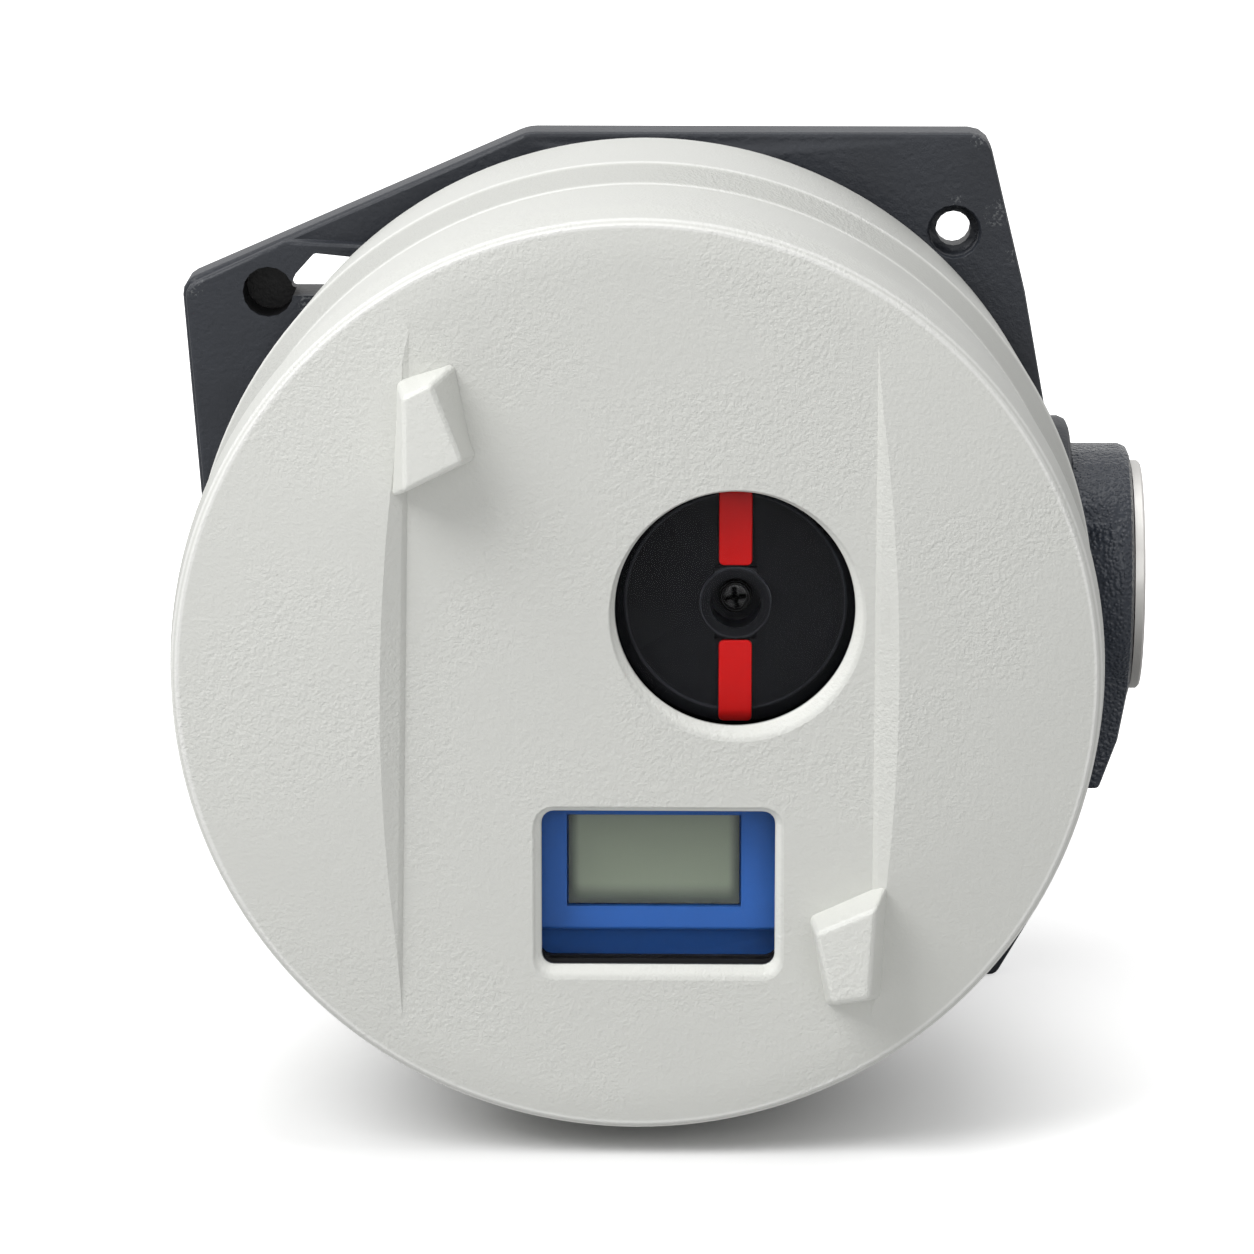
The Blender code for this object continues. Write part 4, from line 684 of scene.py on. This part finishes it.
def cast_material():
    """Dark coat on the casting: fine grain, hammered on the side boss, scuffed at the ears, with painted
    shade in its blind hole.
    """
    color = CAST_DARK
    made, tree, shader = new_material("cast_coat", color, 0.42)
    coat = placed(tree, COAT, Grain=1300.0, Patches=60.0, Calm=0.6)
    hammered = placed(tree, HAMMERED)
    point = object_point(tree)
    parts = tree.nodes.new('ShaderNodeSeparateXYZ')
    tree.links.new(point, parts.inputs[0])
    boss_start = AXIS.x + BOSS_START
    on_boss = span(tree, parts.outputs["X"], boss_start, boss_start + 0.0004)
    fine = math(tree, 'MULTIPLY', coat.outputs["Height"], 1.8)
    coarse = math(tree, 'MULTIPLY', hammered.outputs["Height"], 1.5)
    height = tree.nodes.new('ShaderNodeMix')
    tree.links.new(on_boss, height.inputs[0])
    tree.links.new(fine, height.inputs[2])
    tree.links.new(coarse, height.inputs[3])
    bumped(tree, shader, height.outputs[0], 0.00014)
    shader.inputs["Specular IOR Level"].default_value = 0.35
    lighter = tuple(1.25 * part for part in color)
    tone = mixed(tree, coat.outputs["Tone"], color, lighter)
    wear_and_sheen = None
    for place, reach in SCUFFS:
        near = placed(tree, NEAR, Point=place, Reach=reach, Uneven=0.5).outputs["Mask"]
        wear_and_sheen = near if wear_and_sheen is None else math(tree, 'MAXIMUM', wear_and_sheen, near)
    specks = span(tree, noise(tree, 1900.0, 3.0, 0.6, point), 0.52, 0.60)
    wear_and_sheen = math(tree, 'MULTIPLY', math(tree, 'MULTIPLY', wear_and_sheen, specks), 0.7)
    tone = mixed(tree, wear_and_sheen, tone, SCUFF_GREY)
    tone = mixed(tree, math(tree, 'MULTIPLY', on_boss, 0.8), tone, BOSS_BLUE)
    # Painted shade inside the blind hole
    away, height = round_axis(tree, axis_point(tree, *BLIND_HOLE))
    in_hole = math(tree, 'MULTIPLY', span(tree, away, *BLIND_HOLE_EDGE, 1.0, 0.0),
                   span(tree, height, *BLIND_HOLE_MOUTH, 1.0, 0.0))
    in_hole = math(tree, 'MULTIPLY', in_hole, span(tree, height, *BLIND_HOLE_FLOOR))
    tone = mixed(tree, in_hole, tone, HOLE_PAINTED_SHADE)
    tree.links.new(tone, shader.inputs["Base Color"])
    tree.links.new(span(tree, on_boss, 0.0, 1.0, 0.46, 0.20), shader.inputs["Roughness"])
    return made


def steel_material(name, centre, across, roughness=0.25, color=(0.66, 0.65, 0.63)):
    made, tree, shader = new_material(name, color, roughness, 1.0)
    rings = placed(tree, TURNING, Centre=centre, Across=across)
    bumped(tree, shader, rings.outputs["Height"], 0.000004)
    tree.links.new(span(tree, rings.outputs["Tone"], 0.3, 0.7, roughness - 0.06, roughness + 0.08),
                   shader.inputs["Roughness"])
    return made


def plastic_material(name, color, roughness, grain=2600.0, depth=0.00001, shine=0.5):
    made, tree, shader = new_material(name, color, roughness)
    shader.inputs["Specular IOR Level"].default_value = shine
    coat = placed(tree, COAT, Grain=grain, Patches=45.0, Calm=0.7)
    darker = tuple(0.9 * part for part in color)
    tree.links.new(mixed(tree, coat.outputs["Tone"], darker, color), shader.inputs["Base Color"])
    bumped(tree, shader, coat.outputs["Height"], depth)
    return made


def glass_material():
    """Clear glass that lets light through to what lies behind it."""
    made, tree, shader = new_material("clear_glass", (0.97, 0.98, 0.985), 0.02)
    shader.inputs["Transmission Weight"].default_value = 1.0
    shader.inputs["IOR"].default_value = 1.1
    shader.inputs["Specular IOR Level"].default_value = 0.05
    clear = tree.nodes.new('ShaderNodeBsdfTransparent')
    path = tree.nodes.new('ShaderNodeLightPath')
    mix = tree.nodes.new('ShaderNodeMixShader')
    tree.links.new(path.outputs["Is Shadow Ray"], mix.inputs[0])
    tree.links.new(shader.outputs[0], mix.inputs[1])
    tree.links.new(clear.outputs[0], mix.inputs[2])
    tree.links.new(mix.outputs[0], tree.nodes["Material Output"].inputs["Surface"])
    return made


def lcd_material():
    """Reflective display: grey-green, with painted shade towards its lower edge and sides."""
    made, tree, shader = new_material("lcd_glass", LCD_LIT, 0.22)
    point = object_point(tree)
    parts = tree.nodes.new('ShaderNodeSeparateXYZ')
    tree.links.new(point, parts.inputs[0])
    low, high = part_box("display")
    # Painted shade towards the lower edge and the sides
    up = span(tree, parts.outputs["Z"], low.z - 0.0002, low.z + LCD_FADE_UP)
    from_left = span(tree, parts.outputs["X"], low.x, low.x + LCD_FADE_SIDE)
    from_right = span(tree, parts.outputs["X"], high.x - LCD_FADE_SIDE, high.x, 1.0, 0.0)
    lit = math(tree, 'MULTIPLY', math(tree, 'MULTIPLY', up, from_left), from_right)
    haze = noise(tree, 120.0, 2.0, 0.5, point)
    lit = math(tree, 'ADD', lit, math(tree, 'MULTIPLY', math(tree, 'SUBTRACT', haze, 0.5), 0.08), True)
    tree.links.new(mixed(tree, lit, LCD_PAINTED_SHADE, LCD_LIT), shader.inputs["Base Color"])
    return made


def disc_material():
    """Matt black with a thin painted highlight line at its edge and round its hub."""
    made = plastic_material("disc_black", DISC_TONE, 0.40, 3200.0, 0.000003, 0.07)
    tree = made.node_tree
    shader = tree.nodes["Principled BSDF"]
    tone = shader.inputs["Base Color"].links[0].from_socket
    # Painted highlight lines at the disc's edge and round its hub
    rings = None
    for radius, height in ((DISC_EDGE_R, DISC_TOP), (HUB_R, HUB_TOP)):
        ring = placed(tree, RING, Centre=(0.0, 0.0, 0.0), Radius=radius, Height=height,
                      Half=DISC_LINE_HALF)
        line = ring.outputs["Mask"]
        rings = line if rings is None else math(tree, 'MAXIMUM', rings, line)
    tree.links.new(mixed(tree, rings, tone, DISC_LINE_HIGHLIGHT), shader.inputs["Base Color"])
    return made


def pointer_screw_material():
    """Blackened steel, with painted shade in its recess and a worn bare-metal ring round its head, lighter
    as a painted highlight.
    """
    made = plastic_material("screw_black", SCREW_TONE, 0.24, 3200.0, 0.000004, 0.40)
    tree = made.node_tree
    shader = tree.nodes["Principled BSDF"]
    tone = shader.inputs["Base Color"].links[0].from_socket
    low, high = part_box("pointer_screw")
    head_r = (high.x - low.x) / 2
    top = -low.y
    deep, shallow = RECESS_SHADE_DROP
    radius, height = round_axis(tree)
    # Painted shade in the cross recess
    recess = math(tree, 'MULTIPLY', span(tree, height, top - deep, top - shallow, 1.0, 0.0),
                  span(tree, radius, *RECESS_SHADE_R, 1.0, 0.0))
    # A worn bare-metal ring, lighter than the head: partly wear, partly a painted highlight
    ring = placed(tree, RING, Centre=(0.0, 0.0, 0.0), Radius=head_r - SCREW_SHEEN_RING_IN,
                  Height=top - SCREW_SHEEN_RING_IN, Half=SCREW_SHEEN_RING_HALF)
    wear_and_sheen = ring.outputs["Mask"]
    tone = mixed(tree, recess, tone, RECESS_PAINTED_SHADE)
    tree.links.new(mixed(tree, wear_and_sheen, tone, WEAR_AND_SHEEN_TONE), shader.inputs["Base Color"])
    tree.links.new(math(tree, 'MAXIMUM', recess, wear_and_sheen), shader.inputs["Metallic"])
    return made


COVER_COAT = cover_material()
CAST_COAT = cast_material()
ENTRY_CENTRE = row_point(0.0, -0.0078, 0.032)
PLUG_STEEL = steel_material("plug_steel", ENTRY_CENTRE, (0.0, 1.0, 1.0), 0.50, (0.60, 0.59, 0.57))
SHAFT_STEEL = steel_material("shaft_steel", (0.0, 0.0, 0.0), (1.0, 0.0, 1.0), 0.28)
BUSH_BRONZE = plastic_material("bush_bronze", (0.50, 0.34, 0.17), 0.4)
BUSH_BRONZE.node_tree.nodes["Principled BSDF"].inputs["Metallic"].default_value = 1.0
SEAL_RUBBER = plastic_material("seal_rubber", (0.012, 0.012, 0.013), 0.65, 1800.0, 0.00003, 0.2)
DISC_BLACK = disc_material()
SCREW_BLACK = pointer_screw_material()
CASE_BLACK = plastic_material("case_black", (0.008, 0.008, 0.010), 0.5, 1500.0, 0.00004, 0.12)
BAR_RED = plastic_material("bar_red", (0.43, 0.0045, 0.0045), 0.4, shine=0.1)
PANEL_BLUE = plastic_material("panel_blue", (0.0215, 0.096, 0.350), 0.45, shine=0.2)
KEY_GREY = plastic_material("key_grey", (0.50, 0.51, 0.53), 0.5)
MOULDED_GREY = plastic_material("moulded_grey", (0.22, 0.23, 0.24), 0.5, 1500.0, 0.00003)
ANODISED = plastic_material("anodised", (0.50, 0.51, 0.52), 0.38, 2200.0)
ANODISED.node_tree.nodes["Principled BSDF"].inputs["Metallic"].default_value = 1.0
BOARD_GREEN = plastic_material("board_green", (0.020, 0.150, 0.062), 0.4)
LCD = lcd_material()
GLASS = glass_material()


# Cover


def cover_body():
    """The turned body of the cover with softened rim, step and skirt."""
    crown = [(radius / 1000, dome_height(radius / 1000)) for radius in range(0, 78, 7)]
    walls = [
        (FACE_R - FACE_EDGE, dome_height(FACE_R - FACE_EDGE)), (FACE_R, RIM_H - FACE_EDGE),
        (DRUM_R, RIM_H - BULGE_L), (STEP_R, STEP_H), (SKIRT_R, STEP_H - STEP_L),
        (SKIRT_END_R, SKIRT_H + 0.0006), (SKIRT_END_R - 0.0006, SKIRT_H), (THREAD_R, SKIRT_H),
        (THREAD_R, SEAL_H - GROOVE_HALF),
        (GROOVE_R, SEAL_H - GROOVE_HALF), (GROOVE_R, SEAL_H + GROOVE_HALF),
        (THREAD_R, SEAL_H + GROOVE_HALF), (THREAD_R, SKIRT_BORE_H), (INNER_R, SKIRT_BORE_H + 0.004),
        (INNER_R, CEILING_H - 0.003), (INNER_R - 0.003, CEILING_H), (0, CEILING_H)]
    first = len(crown)
    radii = {first: 0.0004, first + 1: 0.0004, first + 2: 0.030, first + 3: 0.0010,
             first + 4: 0.0012, first + 5: 0.0003, first + 6: 0.0003}
    return turned(softened(crown + walls, radii, 6), 180)


def band_outline(spread):
    """The band's outline, with each side spread outwards and blended beyond its lug."""
    left = [(BAND_LEFT[0] + BAND_LEFT[1] * z - spread * wider, z) for z, wider in BAND_ENDS]
    right = [(BAND_RIGHT[0] - BAND_RIGHT[1] * z + spread * wider, -z) for z, wider in BAND_ENDS]
    return left[:1] + right[::-1] + left[:0:-1]


def band_cutter():
    return lofted([(RIM_H + rise, band_outline(spread)) for rise, spread in BAND_WALL])


def grip_lug(foot, top):
    return softened_edges(lofted([(LUG_BASE_H, foot), (LUG_TOP_H, top)]), LUG_EDGE, 4, 20)


def window_cutter():
    """The window's opening, whose bevel is widest at its foot."""
    band_h = RIM_H + BAND_RISE
    edge = band_h - WINDOW_BEVEL
    seat_h = band_h - WALL_LAND
    back = CEILING_H - 0.001
    retainer_h = CEILING_H + RETAINER_SEAT
    bevel = [(WINDOW_R + share * WINDOW_FLARE, edge + rise) for rise, share in BEVEL_RISE]
    points = [(0, back), (RETAINER_R, back), (RETAINER_R, retainer_h), (GLASS_R, retainer_h),
              (GLASS_R, seat_h), (WINDOW_R, seat_h), *bevel, (0, bevel[-1][1])]
    opening = turned(points, 96)
    flare = [vertex for vertex in opening.verts if vertex.co.z > edge - 0.0005]
    lean = Matrix.Shear('XY', 4, WINDOW_LEAN)
    above = Matrix.Translation((0, 0, edge))
    bmesh.ops.transform(opening, verts=flare, matrix=above @ lean @ above.inverted())
    return moved(opening, *SHAFT)


def display_outline(share):
    side, over, under = [share * width for width in DISPLAY_BEVEL]
    return rectangle(DISPLAY_W + 2 * side, DISPLAY_D + over + under, DISPLAY_CORNER + side,
                     DISPLAY_X, DISPLAY_Z + (over - under) / 2)


def display_cutters():
    band_h = RIM_H + BAND_RISE
    edge = band_h - WINDOW_BEVEL
    back = CEILING_H - 0.001
    levels = [(back, display_outline(0.0))]
    levels += [(edge + rise, display_outline(share)) for rise, share in BEVEL_RISE]
    opening = lofted(levels)
    seat = plate(rectangle(DISPLAY_W + 2 * DISPLAY_LAP, DISPLAY_D + 2 * DISPLAY_LAP, 0.002,
                           DISPLAY_X, DISPLAY_Z), back, band_h - WALL_LAND)
    frame_seat = plate(rectangle(DISPLAY_W + 2 * (DISPLAY_LAP + FRAME_SIDE),
                                 DISPLAY_D + 2 * (DISPLAY_LAP + FRAME_END), 0.002,
                                 DISPLAY_X, DISPLAY_Z), back, CEILING_H + RETAINER_SEAT)
    return [opening, seat, frame_seat]


def make_cover():
    tools = [('DIFFERENCE', band_cutter()), ('UNION', grip_lug(LEFT_FOOT, LEFT_TOP)),
             ('UNION', grip_lug(RIGHT_FOOT, RIGHT_TOP))]
    tools += [('DIFFERENCE', cutter) for cutter in [window_cutter(), *display_cutters()]]
    lock_hole = turned([(0, SKIRT_R + 0.003), (LOCK_R, SKIRT_R + 0.003), (LOCK_R, THREAD_R - 0.003),
                        (0, THREAD_R - 0.003)], 24)
    bmesh.ops.rotate(lock_hole, verts=lock_hole.verts, matrix=Matrix.Rotation(pi / 2, 3, 'X'))
    moved(lock_hole, 0, 0, LOCK_H)
    tools.append(('DIFFERENCE', lock_hole))
    shell = combined(cover_body(), tools)
    finished(on_front(shell), "cover_shell", "cover", COVER_COAT, ["cover"], 14)


# Indicator


def make_indicator():
    dressed("pointer_disc", "indicator_disc", DISC_BLACK)
    dressed("pointer_bar_upper", "indicator_bar_upper", BAR_RED, 30, 0.0002, 0.0009)
    dressed("pointer_bar_lower", "indicator_bar_lower", BAR_RED, 30, 0.0002, 0.0009)
    make_pointer_screw()


def make_pointer_screw():
    """Pan-head screw with its cross recess."""
    low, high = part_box("pointer_screw")
    head_r = (high.x - low.x) / 2
    top = -low.y
    under = top - SCREW_HEAD_T
    profile = softened([(0, top), (head_r, top), (head_r, under), (SCREW_SHANK_R, under),
                        (SCREW_SHANK_R, -high.y), (0, -high.y)], {1: SCREW_HEAD_ROUND}, 5)
    arms = []
    for turn in (radians(RECESS_TURN), radians(RECESS_TURN + 90)):
        arm = lofted([(top - RECESS_DEPTH, rectangle(*RECESS_FOOT, 0.0001)),
                      (top + RECESS_OVER, rectangle(*RECESS_MOUTH, 0.0001))])
        bmesh.ops.rotate(arm, verts=arm.verts, matrix=Matrix.Rotation(turn, 3, 'Z'))
        arms.append(('DIFFERENCE', arm))
    head = combined(turned(profile, 48), arms)
    finished(on_front(head, SHAFT), "indicator_screw", "shaft", SCREW_BLACK, ["pointer_screw"], 30)


# The rest of the nodes


def make_rest():
    dressed("housing", "housing_casting", CAST_COAT)
    dressed("entry_plug", "entry_plug_turned", PLUG_STEEL)
    dressed("display", "lcd", LCD)
    dressed("operator_panel", "blue_panel", PANEL_BLUE, 25)
    for node in ("indicator_window", "display_window"):
        dressed(node, node + "_glass", GLASS)
    finishes = {
        "seal_rubber": SEAL_RUBBER, "bush_bronze": BUSH_BRONZE, "stainless_steel": SHAFT_STEEL,
        "black_plastic": CASE_BLACK, "key_plastic": KEY_GREY, "grey_plastic": MOULDED_GREY,
        "anodised_aluminium": ANODISED, "circuit_board": BOARD_GREEN}
    slots = {part["node"]: part["material_slot"] for part in frame["record"]["subparts"]}
    for node in ("display_retainer", "window_retainer"):
        dressed(node, node + "_finished", CASE_BLACK)
    for node, obj in NODES.items():
        if obj.hide_render:
            continue
        dressed(node, node + "_finished", finishes[slots[node]])


# Stage


def floor_material():
    """Pale floor, white to the camera away from the object: a painted glow, seen by the camera only, grows
    away from the shadow's place, so only the shadow near the object stays.
    """
    made, tree, shader = new_material("pale_floor", FLOOR_GREY, 0.9)
    shader.inputs["Specular IOR Level"].default_value = 0.0
    path = tree.nodes.new('ShaderNodeLightPath')
    tree.links.new(mixed(tree, path.outputs["Is Camera Ray"], FLOOR_GREY, FLOOR_WHITE),
                   shader.inputs["Base Color"])
    # Painted light: a glow for the camera, nil near the shadow's place and full far from it
    away = tree.nodes.new('ShaderNodeVectorMath')
    away.operation = 'DISTANCE'
    tree.links.new(object_point(tree), away.inputs[0])
    away.inputs[1].default_value = (*GLOW_CENTRE, cad_box[0].z)
    near = span(tree, away.outputs["Value"], GLOW_START, GLOW_MIDDLE, 0.0, 0.6)
    far = span(tree, away.outputs["Value"], GLOW_MIDDLE, GLOW_FULL, 0.0, 0.4)
    glow = math(tree, 'ADD', near, far)
    shader.inputs["Emission Color"].default_value = (1, 1, 1, 1)
    tree.links.new(math(tree, 'MULTIPLY', path.outputs["Is Camera Ray"], glow),
                   shader.inputs["Emission Strength"])
    return made


def make_stage():
    """Pale floor, with lamps and a light world."""
    floor_z = cad_box[0].z - 0.0003
    work = bmesh.new()
    bmesh.ops.create_grid(work, x_segments=1, y_segments=1, size=6.0)
    moved(work, 0, 0, floor_z)
    floor = as_object(work, "floor")
    floor.data.materials.append(floor_material())
    lamp("key", (-0.68, -0.62, 0.86), 0.8, 12.0)
    lamp("top", (0.05, -0.1, 1.3), 0.9, 4.3)
    lamp("front", (0.25, -1.5, 0.35), 0.9, 3.0)
    world = bpy.data.worlds.new("pale_world")
    scene.world = world
    world.use_nodes = True
    tree = world.node_tree
    background = tree.nodes["Background"]
    path = tree.nodes.new('ShaderNodeLightPath')
    seen = math(tree, 'MAXIMUM', path.outputs["Is Camera Ray"], path.outputs["Is Glossy Ray"])
    seen = math(tree, 'MAXIMUM', seen, path.outputs["Is Transmission Ray"])
    tree.links.new(span(tree, seen, 0.0, 1.0, 0.4, 1.0, False), background.inputs["Strength"])
    background.inputs["Color"].default_value = (1.0, 1.0, 1.0, 1.0)


def lamp(name, place, size, energy):
    light = bpy.data.lights.new(name, 'AREA')
    light.shape = 'SQUARE'
    light.size = size
    light.energy = energy
    made = bpy.data.objects.new(name, light)
    made.location = place
    aim = Vector((0.0, -0.10, 0.0)) - Vector(place)
    made.rotation_mode = 'QUATERNION'
    made.rotation_quaternion = aim.to_track_quat('-Z', 'Y')
    scene.collection.objects.link(made)


def make_camera():
    rim = Vector(row_point(0, 0, RIM_H))
    azimuth = radians(CAMERA_AZIMUTH)
    elevation = radians(CAMERA_ELEVATION)
    back = Vector((sin(azimuth) * cos(elevation), -cos(azimuth) * cos(elevation), sin(elevation)))
    place = rim + back * CAMERA_DISTANCE
    aim = rim + Vector((-AIM_LEFT, 0, AIM_UP))
    data = bpy.data.cameras.new("camera")
    data.lens = CAMERA_LENS
    data.sensor_width = 36.0
    data.clip_start = 0.01
    made = bpy.data.objects.new("camera", data)
    made.location = place
    made.rotation_mode = 'QUATERNION'
    made.rotation_quaternion = (aim - place).to_track_quat('-Z', 'Y')
    scene.collection.objects.link(made)
    scene.camera = made


make_cover()
make_indicator()
make_rest()
make_stage()
make_camera()
scene.view_settings.view_transform = 'Standard'
